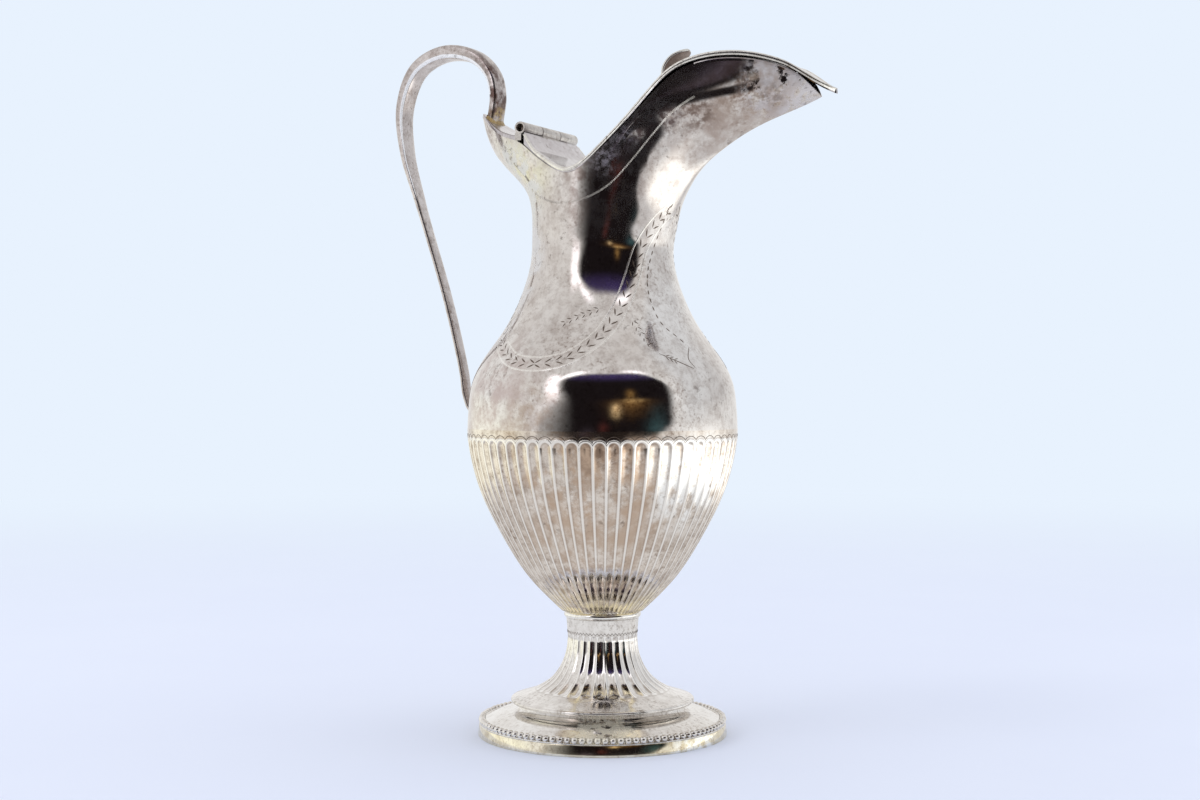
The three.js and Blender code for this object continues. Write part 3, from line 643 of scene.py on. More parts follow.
def fluted_bowl():
    count = BOWL_FLUTES * FLUTE_SIDES
    angle = full_turn(count)
    rings = [ring(BOWL_BASE_R - SHEET, BOWL_BASE, count)]
    depths = [np.ones(count)]
    stops = [BOWL_BASE, BOWL_WIDENS, FLUTE_TOP - HALF_FLUTE, FLUTE_TOP + 0.2, GIRDLE_Z]
    for z in stations(stops, [16, 26, 14, 6]):
        radius = float(turned_radius(z))
        depth = BOWL_FLUTE_DEPTH * radius / GIRDLE_R
        sunk = hollow(angle, BOWL_FLUTES, FLUTE_TOP - z, HALF_FLUTE)
        rings.append(ring(radius - depth * sunk, z, count))
        least = PLAIN * ease(z, FLUTE_TOP, FLUTE_TOP + 1.5) + 0.32 * (1 - ease(z, 62, 80))
        depths.append(np.maximum(sunk, least))
    rings.append(ring(GIRDLE_R - SHEET, GIRDLE_Z, count))
    rings += lining(turned_radius, BOWL_SHEET, np.linspace(GIRDLE_Z - 4, BOWL_BASE + 4, 16), count)
    rings.append(ring(BOWL_FLOOR_R, BOWL_BASE + BOWL_SHEET, count))
    points, faces = loft(rings)
    return points, faces, np.concatenate([*depths, np.ones(len(points) - len(depths) * count)])


bowl = fluted_bowl()
add_piece("bowl_shell", bowl, BOWL_SILVER, "fluted_bowl", sharp=60)


# Upper body: its rows lie level up to LEVEL_TOP, and from there they rise to the rim
LEVEL_TOP, LEVEL_SHARE, LIP_ROUND = 192, 0.45, 0.22


def along_columns(rows, degrees, count):
    sigma = degrees * count / 360
    reach = int(4 * sigma) + 1
    kernel = np.exp(-0.5 * (np.arange(-reach, reach + 1) / sigma) ** 2)
    kernel /= kernel.sum()
    made = np.zeros_like(rows)
    for k, weight in zip(range(-reach, reach + 1), kernel):
        made += weight * np.roll(rows, k, axis=1)
    return made


def upper_body():
    count = 480
    angle = full_turn(count)

    def wall(sheet, shares):
        top = rim_level(angle, sheet)
        rows = []
        for s in shares:
            low = GIRDLE_Z + (LEVEL_TOP - GIRDLE_Z) * min(s / LEVEL_SHARE, 1)
            z = low + (top - LEVEL_TOP) * max(0, (s - LEVEL_SHARE) / (1 - LEVEL_SHARE))
            rows.append(skin(angle, z + 0 * angle, sheet))
        rows = np.array(rows)
        soft = 1 - ease(np.abs(np.cos(angle)), 0.2, 0.55)[None, :, None]
        return (1 - soft) * along_columns(rows, 1.2, count) + soft * along_columns(rows, 5.0, count)

    outer = wall(0.0, np.linspace(0, 1, 110))
    inner = wall(SHEET, np.linspace(1, 0, 50))
    edge = []
    for t in (0.2, 0.5, 0.8):
        lip = outer[-1] * (1 - t) + inner[0] * t
        lip[:, 2] += LIP_ROUND * math.sin(math.pi * t)
        edge.append(lip)
    return loft(np.concatenate([outer, np.array(edge), inner]), loop=True)


body = upper_body()
add_piece("upper_body", body, BODY_SILVER, "neck_and_spout", sharp=60)


# Lid, hinge and the fixed plate behind it
PLATE_FRONT, LID_BACK = HINGE_X - LEAF, HINGE_X + LEAF


def rear_top(x):
    lift = HINGE_Z - LEAF - rim_height(PLATE_FRONT) - SOLDER_GAP - REAR_EDGE
    rise = lift * np.maximum(0, 1 - (PLATE_FRONT - x) / REAR_BEND) ** 2
    return rim_height(x) + SOLDER_GAP + REAR_EDGE + rise


def rear_half(x):
    return np.maximum(mouth_half_width(x), REAR_END_HALF)


def lid_seat(x):
    x = np.asarray(x, float)
    start = rim_height(LID_LEAVES) + LID_GAP
    slope = rim_height(LID_LEAVES + 0.5) - rim_height(LID_LEAVES - 0.5)
    span = LID_TIP - LID_LEAVES
    t = np.clip((x - LID_LEAVES) / span, 0, 1)
    tip = start + (LID_TIP_Z - start) * t * t * (3 - 2 * t)
    tip = tip + span * (t * (1 - t) ** 2 * slope - t * t * (t - 1) * LID_TIP_SLOPE)
    return np.where(x < LID_LEAVES, rim_height(x) + LID_GAP, tip)


def lid_top(x):
    lift = HINGE_Z - LEAF - lid_seat(LID_BACK) - LID_EDGE
    return lid_seat(x) + LID_EDGE + lift * np.maximum(0, 1 - (x - LID_BACK) / LID_BEND) ** 2


def lid_half(x):
    return np.maximum(mouth_half_width(np.where(x < 0, x, x * SPOUT / LID_TIP)), LID_TIP_HALF)


def panel(places, half_at, top_at, low_at, lip, sheet=0):
    """A plate bent along the jug and straight across it, with its edge turned down all round."""
    rings = []
    for x in places:
        half, top, low = float(half_at(x)), float(top_at(x)), float(low_at(x))
        edge = min(LID_EDGE_ROUND, 0.45 * half)
        inside = half - min(lip, half / 2)
        turn = np.linspace(0, math.pi / 2, 7)
        bend = [(half - edge * (1 - math.sin(a)), top - edge * (1 - math.cos(a))) for a in turn]
        line = [(-half, low)] + [(-y, z) for y, z in bend[::-1]]
        line += [(u * (half - edge), top) for u in np.linspace(-1, 1, 15)[1:-1]]
        line += bend + [(half, low), (inside, low)]
        if sheet:
            line += [(inside, top - sheet), (-inside, top - sheet)]
        else:
            line += [(0.3 * half, low), (-0.3 * half, low)]
        line.append((-inside, low))
        rings.append([(x, y, z) for y, z in line])
    return loft(rings)


lid_places = stations([LID_BACK, LID_BACK + LID_BEND, LID_NOSE, LID_TIP], [14, 90, 24])
lid_cover = panel(lid_places, lid_half, lid_top, lid_seat, LID_LIP, LID_SHEET)
add_piece("lid_cover", lid_cover, LID_SILVER, "lid_panel", "lid")


def lid_moulding(side):
    """A half-round edging along one side of the lid, from the hinge to the tip."""
    turn = full_turn(20)
    rings = []
    for x in np.linspace(LID_BACK + 0.3, LID_TIP - 0.3, 150):
        slope = float(lid_top(x + 0.2) - lid_top(x - 0.2)) / 0.4
        level = 1 / math.hypot(1, slope)
        half = float(lid_half(x))
        out = min(EDGING_W, 0.45 * half)
        rise = 0.5 * LID_EDGE * level * np.sin(turn)
        middle = float(lid_top(x)) - 0.5 * LID_EDGE + 0.3
        y = side * (half - 0.15 + out * np.cos(turn))
        rings.append(np.stack([x - slope * level * rise, y, middle + level * rise], -1))
    return loft(rings)


for side, name in ((-1, "near"), (1, "far")):
    add_piece("lid_edging_" + name, lid_moulding(side), EDGE_SILVER, body="lid", sharp=60)
rear_places = stations([REAR_END, REAR_MIDDLE, PLATE_FRONT], [40, 12])
rear_cover = panel(rear_places, rear_half, rear_top, lambda x: rim_height(x) + 0.05, 0.6)
add_piece("rear_cover", rear_cover, LID_SILVER, "rear_plate")


def hinge_rings(outline, count=48):
    angle = full_turn(count)
    x, z = np.cos(angle), np.sin(angle)
    return [np.stack([HINGE_X + r * x, np.full(count, y), HINGE_Z + r * z], -1) for r, y in outline]


knuckle = (HINGE_LENGTH - 2 * HINGE_GAP) / 3
knuckle_starts = [-HINGE_LENGTH / 2 + i * (knuckle + HINGE_GAP) for i in range(3)]
knuckle_names = (("near", "near", "jug"), ("middle", "lid", "lid"), ("far", "far", "jug"))
for low, (name, node, rides) in zip(knuckle_starts, knuckle_names):
    high = low + knuckle
    outline = rounded([(BORE_R, low), (BARREL_R, low), (BARREL_R, high), (BORE_R, high)], 0.25)
    barrel = loft(hinge_rings(outline), loop=True)
    add_piece("knuckle_" + name, barrel, HINGE_SILVER, "hinge_knuckle_" + node, rides)

# Leaves: the bent ends of the rear plate and the lid, one under each knuckle
for start, (name, _, rides) in zip(knuckle_starts, knuckle_names):
    way = -1 if rides == "jug" else 1
    inner, outer = HINGE_X - way * 0.5, HINGE_X + way * (LEAF + 0.4)
    low, high = HINGE_Z - LEAF - 3.2, HINGE_Z - 0.62 * BARREL_R
    corners = [(inner, low), (outer, low), (outer, HINGE_Z - LEAF - 0.2), (HINGE_X + way * 1.5, high)]
    corners = rounded(corners + [(inner, HINGE_Z - 0.9 * BARREL_R)], 0.3)
    across = np.linspace(start + 0.1, start + 0.1 + knuckle - 0.2, 8)
    leaf = loft([[(x, y, z) for x, z in corners] for y in across])
    add_piece("leaf_" + name, leaf, HINGE_SILVER, body=rides)
half_pin = PIN_LENGTH / 2
pin = rounded([(0.35, -half_pin), (PIN_R, -half_pin), (PIN_R, half_pin), (0.35, half_pin)], 0.3)
pin_rings = np.roll(hinge_rings(pin, 32), -2, axis=0)[: len(pin) - 2]
# The pin is near-black as painted shade, so the bore's end looks a dark hole
add_piece("pin_rod", loft(pin_rings), GROOVE_AND_SHADE_SILVER, "hinge_pin")

thumb_x = through([(0, 31.2), (0.35, 30.6), (0.6, 31.3), (0.8, 33.9), (0.92, 36.6), (1, 39.0)])
thumb_z = through([(0, 0), (0.35, 7), (0.6, 12.2), (0.8, 16.4), (0.92, 18.4), (1, 19.6)])
THUMB_SWELL, THUMB_CORNER = 0.6, 0.4


def thumb_tongue():
    rings, front = [], []
    base = float(lid_top(THUMB_X)) + 0.05
    turn = full_turn(40)
    across = squared_off(np.cos(turn), THUMB_CORNER)
    through_sheet = squared_off(np.sin(turn), THUMB_CORNER)
    upper = THUMB_SWELL + 0.4 * np.sin(np.linspace(0, 1.5, 16))
    for t in np.concatenate([np.linspace(0, THUMB_SWELL, 16)[:-1], upper]):
        swell = ease(t, 0, THUMB_SWELL)
        crown = 1 if t < THUMB_SWELL else math.sqrt(max(1.02 - ((t - THUMB_SWELL) / 0.4) ** 2, 0.01))
        half = (THUMB_BASE + (THUMB_W - THUMB_BASE) * swell) / 2 * crown
        thick = THUMB_T / 2 * (1 - 0.4 * t)
        run = np.array([float(line(t + 0.02) - line(t - 0.02)) for line in (thumb_x, thumb_z)])
        run /= math.hypot(*run)
        x = float(thumb_x(t)) + thick * run[1] * through_sheet
        z = base + float(thumb_z(t)) - thick * run[0] * through_sheet
        z = z + max(0, 1 - 3 * t) * (lid_top(x) + 0.05 - base)
        rings.append(np.stack([x, half * across, z], -1))
        front.append(ease(through_sheet, 0.4, 0.8) * (1 - ease(np.abs(across), 0.9, 0.97)))
    points, faces = loft(rings)
    return points, faces, np.concatenate([*front, [0.5, 0.5]])


add_piece("thumb_tongue", thumb_tongue(), THUMB_SILVER, "thumbpiece", "lid", 55)


# Handle: a strap that thickens over the crown and tapers to its lower end
def between(t, start, end, first, last):
    return (end - t) / (end - start) * first + (t - start) / (end - start) * last


def centripetal(points, per_span=40):
    p = np.array(points, float)
    p = np.vstack([2 * p[0] - p[1], p, 2 * p[-1] - p[-2]])
    made = []
    for i in range(1, len(p) - 2):
        p0, p1, p2, p3 = p[i - 1 : i + 3]
        t0 = 0.0
        t1 = t0 + math.sqrt(np.linalg.norm(p1 - p0))
        t2 = t1 + math.sqrt(np.linalg.norm(p2 - p1))
        t3 = t2 + math.sqrt(np.linalg.norm(p3 - p2))
        for t in np.linspace(t1, t2, per_span, endpoint=False):
            a1, a2, a3 = between(t, t0, t1, p0, p1), between(t, t1, t2, p1, p2), between(t, t2, t3, p2, p3)
            b1, b2 = between(t, t0, t2, a1, a2), between(t, t1, t3, a2, a3)
            made.append(between(t, t1, t2, b1, b2))
    made.append(p[-2])
    return np.array(made)


def handle_line(count):
    loop = [(-0.03, 0.87), (0.02, 0.93), (0.2, 0.982), (0.53, 1), (0.833, 0.96), (0.985, 0.858)]
    loop += [(0.958, 0.73), (0.82, 0.593), (0.51, 0.312), (0.34, 0.1165), (0.3, 0.046), (0.236, 0.006)]
    root = (ROOT_X, float(rear_top(ROOT_X)) + 0.1)
    tail = (-(float(turned_radius(TAIL_Z)) + 0.1), TAIL_Z)
    wide, tall = HANDLE_REACH + ROOT_X, HANDLE_TOP - TAIL_Z
    line = centripetal([root, *[(ROOT_X - out * wide, TAIL_Z + up * tall) for out, up in loop], tail])
    along = lengths(line)
    even = np.linspace(0, along[-1], count)
    return np.stack([np.interp(even, along, line[:, 0]), np.interp(even, along, line[:, 1])], -1)


def handle_strap():
    count = 220
    line = handle_line(count)
    step = unit(np.gradient(line, axis=0))
    turn = full_turn(40)
    rings = []
    for i in range(count):
        t = i / (count - 1)
        taper = ease(t, 0.36, 0.64)
        crown = ease(t, 0, 0.2) - ease(t, 0.2, 0.45)
        width = STRAP_W + (TAIL_W - STRAP_W) * taper
        depth = STRAP_T + (CROWN_T - STRAP_T) * crown
        depth = depth + (TAIL_T - depth) * taper
        corner = 0.5 + 0.34 * ease(t, 0.42, 0.6)
        thick = squared_off(np.sin(turn), corner)
        x = line[i, 0] - step[i, 1] * thick * depth / 2
        z = line[i, 1] + step[i, 0] * thick * depth / 2
        rings.append(np.stack([x, squared_off(np.cos(turn), corner) * width / 2, z], -1))
    rings[0][:, 2] = rear_top(rings[0][:, 0]) + 0.02
    rings[-1][:, 0] = -np.sqrt((turned_radius(rings[-1][:, 2]) + 0.05) ** 2 - rings[-1][:, 1] ** 2)
    return np.array(rings)


strap = handle_strap()
add_piece("handle_strap", loft(strap), HANDLE_SILVER, "handle", sharp=50)


def fillet(base, above, facing, spread):
    """A lumpy run of solder round the end of the handle."""
    out = base - base.mean(0)
    out -= np.outer(out @ facing, facing)
    out = unit(out)
    place = np.arange(len(base))
    lump = 1 + 0.25 * np.sin(place * 1.7) + 0.2 * np.sin(place * 0.6 + 1)
    rings = []
    for aside, rise in ((-0.4, 0.0), (1.0, 0.0), (0.75, 0.22), (0.35, 0.5), (0.12, 0.95), (-0.4, 1.1)):
        rings.append(base + out * (aside * spread * lump)[:, None] + facing * (rise * above * lump)[:, None])
    return rings


root_rings = fillet(strap[0], 1.3, np.array([0, 0, 1.0]), 0.8)
for row in root_rings[:2]:
    row[:, 2] = rear_top(row[:, 0]) - 0.05
add_piece("root_solder", loft(root_rings, loop=True), SOLDER, sharp=80)
tail_rings = fillet(strap[-1], 1.3, np.array([-1.0, 0, 0]), 1.1)
for row in tail_rings[:2]:
    row[:, 0] = -np.sqrt(turned_radius(row[:, 2]) ** 2 - row[:, 1] ** 2) + 0.05
add_piece("tail_solder", loft(tail_rings, loop=True), SOLDER, sharp=80)


# Bright-cut ornament: fine strokes that stand a hair's breadth off the surface
SUNK = 0.12


def strokes(paths, width, height, closed=False):
    """Low ridges along paths of (points, facing, taper); an open path tapers to its ends."""
    made = []
    for line, facing, taper in paths:
        line, facing = np.asarray(line), np.asarray(facing)
        n = len(line)
        step = np.roll(line, -1, axis=0) - np.roll(line, 1, axis=0) if closed else np.gradient(line, axis=0)
        step /= np.maximum(np.linalg.norm(step, axis=1, keepdims=True), 1e-9)
        across = np.cross(facing, step)
        grow = np.ones(n) if closed else np.maximum(np.sin(np.linspace(0, math.pi, n)), 0.02) ** taper
        half = (width / 2 * grow)[:, None]
        crest = line + facing * (height * grow)[:, None]
        low = line - facing * SUNK
        right = line + across * half * 0.8 + facing * height * 0.2
        left = line - across * half * 0.8 + facing * height * 0.2
        rings = np.stack([low - across * half, low + across * half, right, crest, left], 1)
        made.append(loft(rings, loop=closed))
    return joined(made)


def drawn(marks, spacing):
    """A smooth line on the body through marks of (bearing in degrees, height), in even steps."""
    marks = np.array(marks, float)
    places = np.arange(len(marks))
    fine = np.linspace(0, len(marks) - 1, 40 * len(marks))
    bearing = np.radians(through(list(zip(places, marks[:, 0])))(fine))
    z = through(list(zip(places, marks[:, 1])))(fine)
    along = lengths(on_body(bearing, z))
    even = np.linspace(0, along[-1], max(int(along[-1] / spacing) + 1, 4))
    return np.interp(even, along, bearing), np.interp(even, along, z)


def beside(bearing, z, ahead, aside):
    """The place on the body that lies so far ahead along a line and so far to its left."""
    line, facing = on_body(bearing, z), body_facing(bearing, z)
    step = unit(np.gradient(line, axis=0))
    moved = line + step * np.reshape(ahead, (-1, 1)) + np.cross(facing, step) * np.reshape(aside, (-1, 1))
    return np.arctan2(moved[:, 1], moved[:, 0]), moved[:, 2]


shell_points, shell_faces = joined([bowl[:2], body])
shell_tree = BVHTree.FromPolygons(shell_points.tolist(), shell_faces)


def stroke(bearing, z, taper=0.5):
    """A line laid on the finished shells, with the way they face along it."""
    line, facing = on_body(bearing, z), body_facing(bearing, z)
    for i, point in enumerate(line):
        place, normal, *_ = shell_tree.find_nearest(Vector(point))
        normal = np.array(normal)
        line[i] = place
        facing[i] = normal * (1 if normal @ facing[i] > 0 else -1)
    return line, facing, taper


def mirrored(paths):
    flip = np.array([1, -1, 1])
    return paths + [(line[::-1] * flip, facing[::-1] * flip, taper) for line, facing, taper in paths]


def leaves(bearing, z, ahead, aside):
    made = []
    for side in (-1, 1):
        spread = [beside(bearing, z, s * ahead, side * (0.25 + s * aside)) for s in np.linspace(0, 1, 6)]
        b, level = np.array([p[0] for p in spread]), np.array([p[1] for p in spread])
        for k in range(len(bearing) - 1):
            made.append(stroke(b[:, k], level[:, k], 0.8))
    return made


def scallops(rise):
    u = np.linspace(-1, 1, 13)[:-1]
    z = FLUTE_TOP + rise - 0.8 * HALF_FLUTE * (1 - np.sqrt(1 - (0.97 * u) ** 2))
    bearing = (np.arange(BOWL_FLUTES)[:, None] + 0.5 + u / 2) * 2 * math.pi / BOWL_FLUTES
    return stroke(bearing.ravel(), np.tile(z, BOWL_FLUTES))


def engrave(name, paths, width, height, material):
    add_piece(name, strokes(mirrored(paths), width, height), material)


add_piece("flute_scallops", strokes([scallops(0.7)], 0.5, 0.1, closed=True), LINE_SILVER)
add_piece("outer_scallops", strokes([scallops(1.9)], 0.35, 0.08, closed=True), GROOVE_AND_SHADE_SILVER)

border_shape = through(
    [(-42, 240), (-28, 227.5), (-16.3, 220.3), (-4.7, 216.9), (7.3, 218.8), (16, 223.9), (23.5, 232.5)]
    + [(31.4, 242), (39.9, 250.6), (52, 257.8), (63.7, 261.6), (76, 262)]
)
border_x = np.linspace(-20, 50, 290)
border_z = border_shape(border_x) + 0.45 * np.cos(math.pi * np.arange(len(border_x)))
border = stroke(np.arctan2(-half_width(border_x, border_z), border_x), border_z, 0.12)
engrave("rim_border", [border], 0.24, 0.05, LINE_SILVER)

# The painted highlight lines: pale, nearly matt strips along the edges between the inner face and the sides
# of the upper handle
EDGE_START, EDGE_END, EDGE_COLUMNS = 8, 124, 5


def painted_highlight_edge(first):
    run = strap[EDGE_START:EDGE_END]
    out = unit(run - run.mean(1, keepdims=True))
    columns = slice(first, first + EDGE_COLUMNS)
    share = np.linspace(0, 1, len(run))[:, None]
    aside = np.abs(np.linspace(-1, 1, EDGE_COLUMNS))[None, :]
    proud = 0.12 * ease(share, 0, 0.06) - 0.04
    proud = proud - 0.2 * aside * ease(share, 0.45, 1) - 0.1 * ease(share, 0.92, 1)
    top = run[:, columns] + out[:, columns] * proud[..., None]
    low = (run - out * 0.5)[:, columns]
    return loft(np.concatenate([top, low[:, ::-1]], axis=1))


for name, first in (("near", 15), ("far", 1)):
    add_piece("handle_highlight_edge_" + name, painted_highlight_edge(first), HIGHLIGHT_EDGE_SILVER, sharp=60)

swag_marks = (
    [(-175, 212), (-170, 206.4), (-163.5, 198), (-157, 188.5), (-150, 178.5), (-142, 170), (-133, 163.2)]
    + [(-120.5, 158), (-108, 153.7), (-95, 152.4), (-84, 153.6), (-76.5, 156.2), (-65, 163.2), (-57, 170)]
    + [(-49, 178), (-40.5, 188), (-32.5, 198), (-22.5, 206.4), (-11, 212.8), (-3, 215)]
)
fine_line = drawn(swag_marks, 1.2)
bands = [stroke(*beside(*fine_line, 0, side), 0.1) for side in (-3.1, 3.1)]
engrave("wreath_bands", bands, 0.95, 0.1, LINE_SILVER)
middle_b, middle_z = drawn(swag_marks, 4.6)
lowest = int(np.argmin(middle_z))
wreath = leaves(middle_b[lowest:], middle_z[lowest:], 3.0, 1.7)
wreath += leaves(middle_b[: lowest + 1][::-1], middle_z[: lowest + 1][::-1], 3.0, 1.7)
engrave("wreath_leaves", wreath, 0.8, 0.1, GROOVE_AND_SHADE_SILVER)

chain_marks = [(-6, 217), (-9.4, 213), (-17.3, 201), (-27.5, 189), (-30.3, 180), (-27.6, 169)]
chain_b, chain_z = drawn(chain_marks + [(-19.5, 162.7), (-15.7, 159.5)], 0.7)
chain = []
for first in range(0, len(chain_b) - 4, 5):
    link = slice(first, first + 4)
    chain.append(stroke(chain_b[link], chain_z[link], 0.4))
engrave("front_chain", chain, 0.8, 0.1, GROOVE_AND_SHADE_SILVER)

sprigs = []
for marks, spacing in (
    ([(-45.5, 169), (-42, 163.7), (-38.5, 158.5)], 2.4),
    ([(-66, 174), (-73, 172.3), (-80, 170.6), (-89, 167.5)], 2.6),
    ([(-33, 155.3), (-27, 153.2)], 1.6),
):
    sprigs += leaves(*drawn(marks, spacing), 1.7, 1.2)
for marks in ([(-36, 156.3), (-19, 150.4)], [(-15.9, 158.8), (-20, 154.4), (-18.1, 150.8)]):
    sprigs.append(stroke(*drawn(marks, 0.8), 0.3))
engrave("leaf_sprigs", sprigs, 0.55, 0.09, GROOVE_AND_SHADE_SILVER)

teeth = np.arange(4 * STEM_FLUTES)
zigzag = 2 * math.pi * teeth / len(teeth)
level = STEM_FLUTE_HIGH + 0.4 + 0.45 * np.cos(teeth * math.pi)
radial = np.stack([np.cos(zigzag), np.sin(zigzag), 0 * zigzag], -1)
zigzag_line = radial * stem_radius(level)[:, None]
zigzag_line[:, 2] = level
zigzag_strokes = strokes([(zigzag_line, radial, 0.5)], 0.4, 0.08, closed=True)
add_piece("stem_zigzag", zigzag_strokes, GROOVE_AND_SHADE_SILVER)


# Stage, in metres: a pale floor that fades into a pale surround
PALE = (0.807, 0.887, 0.991, 1)
FLOOR_R, FLOOR_SIDES = 4, 96


def seen_directly(tree):
    """One for camera, glossy and transmission rays, and nought for the others."""
    path = add_node(tree, "LightPath")
    total = path.outputs["Is Camera Ray"]
    for kind in ("Is Glossy Ray", "Is Transmission Ray"):
        total = maths(tree, "MAXIMUM", total, path.outputs[kind])
    return total


scene = bpy.context.scene
world = bpy.data.worlds.new("surround")
scene.world = world
world.use_nodes = True
tree = world.node_tree
pale = tree.nodes["Background"]
wire(tree, pale, {"Color": PALE})
soft = add_node(tree, "Background", {"Color": (0.95, 0.97, 1.0, 1), "Strength": 0.9})
pick = add_node(tree, "MixShader", {"Fac": seen_directly(tree), 1: soft.outputs[0], 2: pale.outputs[0]})
wire(tree, tree.nodes["World Output"], {"Surface": pick.outputs[0]})


def stage_mesh(name, points, faces, material):
    mesh = bpy.data.meshes.new(name)
    mesh.from_pydata([tuple(p) for p in points], [], faces)
    mesh.materials.append(material)
    prop = bpy.data.objects.new(name, mesh)
    scene.collection.objects.link(prop)
    return prop


floor_material, tree, shader = new_material("floor_paper")
place = add_node(tree, "TexCoord").outputs["Object"]
tone = ramp(tree, noise(tree, place, 9, 3), [(0.3, (0.79, 0.835, 0.98)), (0.7, (0.80, 0.845, 0.985))])
wire(tree, shader, {"Base Color": tone, "Roughness": 0.85, "Specular IOR Level": 0.1})
distance = add_node(tree, "VectorMath", {0: place}, operation="LENGTH").outputs["Value"]
span = {"From Min": 0.25, "From Max": 1.6}
fade = add_node(tree, "MapRange", {"Value": distance, **span}, interpolation_type="SMOOTHSTEP")
share = maths(tree, "MULTIPLY", fade.outputs["Result"], seen_directly(tree))
glow = add_node(tree, "Emission", {"Color": PALE})
blend = add_node(tree, "MixShader", {"Fac": share, 1: shader.outputs[0], 2: glow.outputs[0]})
wire(tree, tree.nodes["Material Output"], {"Surface": blend.outputs[0]})
disc = [(FLOOR_R * math.cos(a), FLOOR_R * math.sin(a), 0) for a in full_turn(FLOOR_SIDES)]
stage_mesh("floor", disc, [tuple(range(FLOOR_SIDES))], floor_material)


# Studio: a glowing sheet painted with the reflections the silver shows, as a floor, a wall and a roof that
# only mirrored rays meet
STUDIO_R, STUDIO_H = 1.5, 2.2
CLOTH, ROOF, FLOOR, SHADED = (0.92, 0.91, 0.90), (0.76, 0.74, 0.73), (0.80, 0.80, 0.815), (0.77, 0.78, 0.80)
# Painted dark reflection of the room past the camera, a dusk tint in it and a painted purple-grey streak
ROOM, DUSK, PAINTED_STREAK = (0.012, 0.009, 0.010), (0.045, 0.03, 0.12), (0.08, 0.065, 0.085)
# Painted highlight colour, and painted bright light on the cloth to the right and left
PAINTED_HIGHLIGHT, RIGHT_LIGHT, LEFT_LIGHT = (2.1, 2.05, 2.15), (1.95, 1.97, 1.93), (1.13, 1.12, 1.0)
# Painted warm glints in the dark room's reflection
PAINTED_ROOM_GLINTS = (
    ((0.17, 0.085, 0.022), (50, 0.37), (16, 0.05)),
    ((0.24, 0.135, 0.04), (50, 0.56), (3.5, 0.14)),
    ((1.1, 0.8, 0.42), (37, 0.33), (4, 0.03)),
    ((0.62, 0.42, 0.18), (52, 0.41), (8, 0.022)),
    ((0.07, 0.016, 0.012), (26, 0.16), (4, 0.07)),
    ((0.035, 0.09, 0.10), (72, 0.16), (8, 0.12)),
)


def soft_span(v, low, high, soft_low, soft_high):
    rise = ease(v, low - soft_low, low + soft_low)
    return rise * (1 - ease(v, high - soft_high, high + soft_high))


def glow_spot(v, w, centre, spread):
    return np.exp(-(((v - centre[0]) / spread[0]) ** 2) - ((w - centre[1]) / spread[1]) ** 2)


def mixed(colour, other, share):
    share = np.asarray(share)[..., None]
    return colour * (1 - share) + np.asarray(other) * share


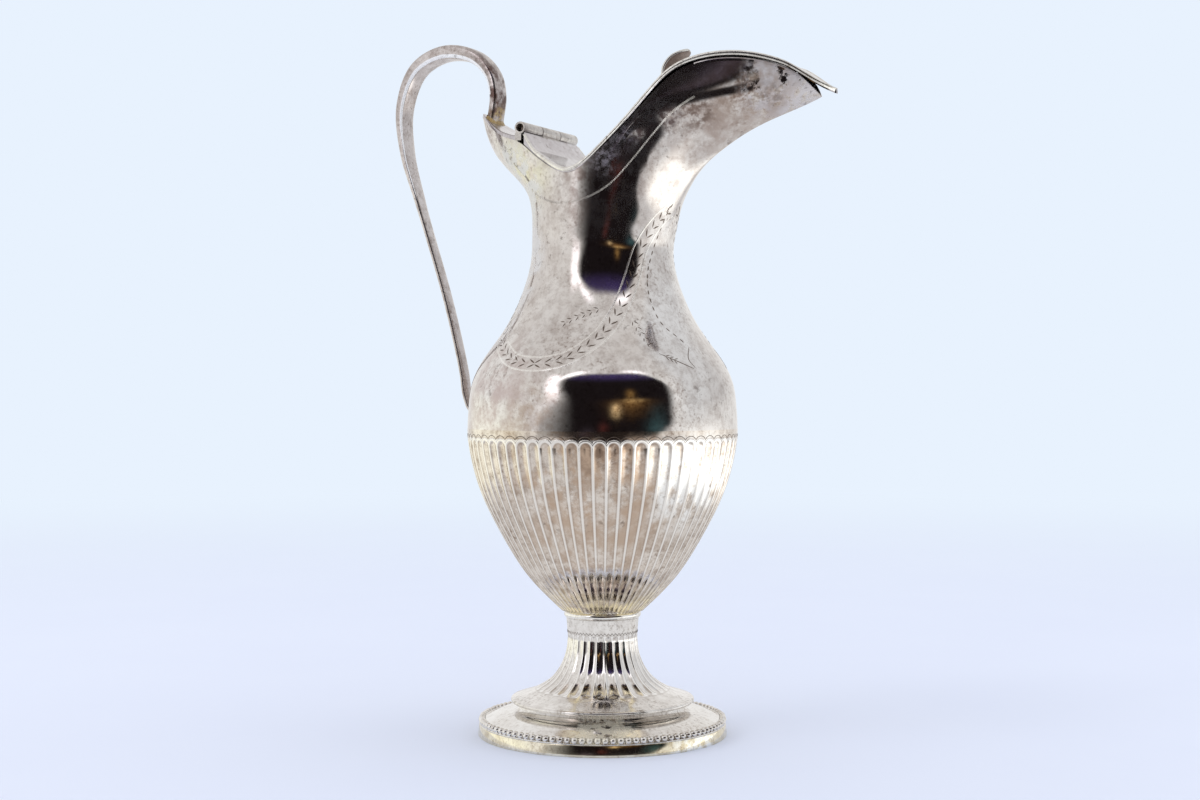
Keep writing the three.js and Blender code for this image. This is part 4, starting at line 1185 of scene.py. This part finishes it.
def studio_light(az, r, z, on_floor):
    """The painted reflection light at an azimuth in degrees: white cloth, a dim room past the camera and
    painted highlights.
    """
    colour = mixed(np.zeros((*az.shape, 3)) + CLOTH, ROOF, ease(z, 0.3, STUDIO_H))
    colour = mixed(colour, FLOOR, on_floor)
    shaded = soft_span(az, 98, 165, 12, 20) * (1 - on_floor) * ease(z, 0.05, 0.35)
    colour = mixed(colour, SHADED, shaded)
    # The dim room, a painted dark reflection seen through an opening in the wall, with painted warm glints
    # and a painted purple-grey streak
    top = 1.74 * (1 - 0.56 * np.abs((az - 34) / 54) ** 3.5)
    low = 1 - ease(z, 0.2, 0.42)
    edge = 5 + 5 * (1 - ease(z, 0.3, 0.8)) + 17 * low
    start = -12 + 4 * (1 - ease(z, 0.4, 1.0)) - 14 * low
    end = 72 + 15 * ease(z, 0, 0.24)
    wall = ease(az, start - edge, start + edge) * (1 - ease(az, end - 5, end + 5))
    wall *= (1 - ease(z, top - 0.12, top + 0.04)) * (1 - on_floor)
    # The painted dark reflection of the floor in front of it, far off and close by
    first = -14 - 35 * ease(r, 1.1, 1.5)
    last = 48 + 26 * ease(r, 0.95, 1.45)
    far = ease(az, first, 4) * (1 - ease(az, last - 12, last + 6))
    far *= ease(r, 0.8, 1.1) * on_floor
    brink = 0.38 + 0.21 * (np.maximum(az - 24, 0) / 20) ** 2 + 0.14 * (1 - ease(az, 8, 17))
    near = soft_span(az, -1, 47, 5, 4) * ease(r, brink - 0.05, brink + 0.07) * on_floor
    near *= 1 - soft_span(az, 17, 23.5, 2, 2) * ease(r, 0.7, 0.82)
    dark = np.zeros_like(colour) + ROOM
    dark += np.array(DUSK) * ease(z, 1.05, 1.6)[..., None]
    for tint, centre, spread in PAINTED_ROOM_GLINTS:
        dark += np.array(tint) * glow_spot(az, z, centre, spread)[..., None]
    on_wall = glow_spot(az, z, (12.5, 0.03), (5, 0.09))
    streak = np.where(on_floor > 0, glow_spot(az, r, (15, 1.42), (6, 0.17)), on_wall)
    dark += np.array(PAINTED_STREAK) * streak[..., None]
    colour = mixed(colour, dark, np.maximum(np.maximum(wall, far), near))
    # Painted highlights at the edges of the opening, and painted bright cloth to the right and left
    highlight_share = soft_span(az - start, -14, -3, 4, 3) * soft_span(z, 0.45, 1.4, 0.25, 0.2)
    highlight_share = np.maximum(highlight_share, soft_span(az, -20, 6, 4, 9) * soft_span(z - top, 0.06, 0.27, 0.06, 0.12))
    highlight_share = np.maximum(highlight_share, soft_span(az, 48, 70, 9, 9) * soft_span(z - top, 0.04, 0.2, 0.06, 0.1))
    colour = mixed(colour, PAINTED_HIGHLIGHT, highlight_share * (1 - on_floor))
    side = soft_span(az, 100, 152, 16, 20)
    beyond = 1 - (1 - 0.4 * side) * ease(r, 0.55, 1.0)
    right = soft_span(az, 62, 150, 15, 20) * ease(r, 0.18, 0.31) * beyond
    right = np.where(on_floor > 0, right, 0.4 * side * (1 - ease(z, 0, 0.3)))
    colour = mixed(colour, RIGHT_LIGHT, right)
    left = np.where(on_floor > 0, ease(r, 0.25, 0.31), 1 - ease(z, 0.03, 0.4))
    return mixed(colour, LEFT_LIGHT, soft_span(az, -120, -44, 16, 14) * left)


def studio():
    azimuth = np.linspace(-180, 180, 361)
    rows = [(r, 0.0004, 1.0) for r in np.linspace(0.06, STUDIO_R, 49)]
    rows += [(STUDIO_R, z, 0.0) for z in np.linspace(0.005, STUDIO_H, 111)]
    rows += [(r, STUDIO_H + 0.2 * (1 - r / STUDIO_R), 0.0) for r in np.linspace(1.4, 0.02, 16)]
    r, z, on_floor = np.array(rows).T
    az = azimuth[:, None] + 0 * r[None, :]
    a = np.radians(az)
    points = np.stack([np.sin(a) * r, -np.cos(a) * r, z + 0 * a], -1).reshape(-1, 3)
    light = studio_light(az, r + 0 * az, z + 0 * az, on_floor + 0 * az).reshape(-1, 3)
    n = len(rows)
    faces = []
    for i in range(len(azimuth) - 1):
        for j in range(n - 1):
            faces.append((i * n + j, (i + 1) * n + j, (i + 1) * n + j + 1, i * n + j + 1))
    material, tree, _ = new_material("painted_reflection_studio")
    painted = add_node(tree, "Attribute", attribute_name="light")
    glow = add_node(tree, "Emission", {"Color": painted.outputs["Color"]})
    wire(tree, tree.nodes["Material Output"], {"Surface": glow.outputs[0]})
    sheet = stage_mesh("studio", points, faces, material)
    full = np.concatenate([light, np.ones((len(light), 1))], axis=1).astype(np.float32)
    sheet.data.attributes.new("light", "FLOAT_COLOR", "POINT").data.foreach_set("color", full.ravel())
    sheet.visible_camera = False
    sheet.visible_diffuse = False
    sheet.visible_shadow = False


studio()


def softbox(name, place, aim, size, energy, colour):
    light = bpy.data.lights.new(name, "AREA")
    light.shape = "RECTANGLE"
    light.size, light.size_y = size
    light.energy = energy
    light.color = colour
    lamp = bpy.data.objects.new(name, light)
    lamp.location = place
    lamp.rotation_euler = (Vector(aim) - Vector(place)).to_track_quat("-Z", "Y").to_euler()
    lamp.visible_glossy = False
    scene.collection.objects.link(lamp)


softbox("side_softbox", (-1.0, -1.1, 1.1), (0, 0, 0.15), (0.5, 0.8), 3, (1.0, 0.99, 0.97))
softbox("top_softbox", (0.4, 0.3, 1.6), (0, 0, 0.15), (0.9, 0.9), 2, (0.98, 0.99, 1.0))

camera = bpy.data.cameras.new("camera")
camera.lens = 54
camera.sensor_width = 36
eye = bpy.data.objects.new("camera", camera)
eye.location = (0.3323, -0.6665, 0.1460)
eye.rotation_euler = (math.radians(90 - 0.637), 0, math.radians(26.5 + 0.08))
scene.collection.objects.link(eye)
scene.camera = eye
scene.view_settings.view_transform = "Standard"
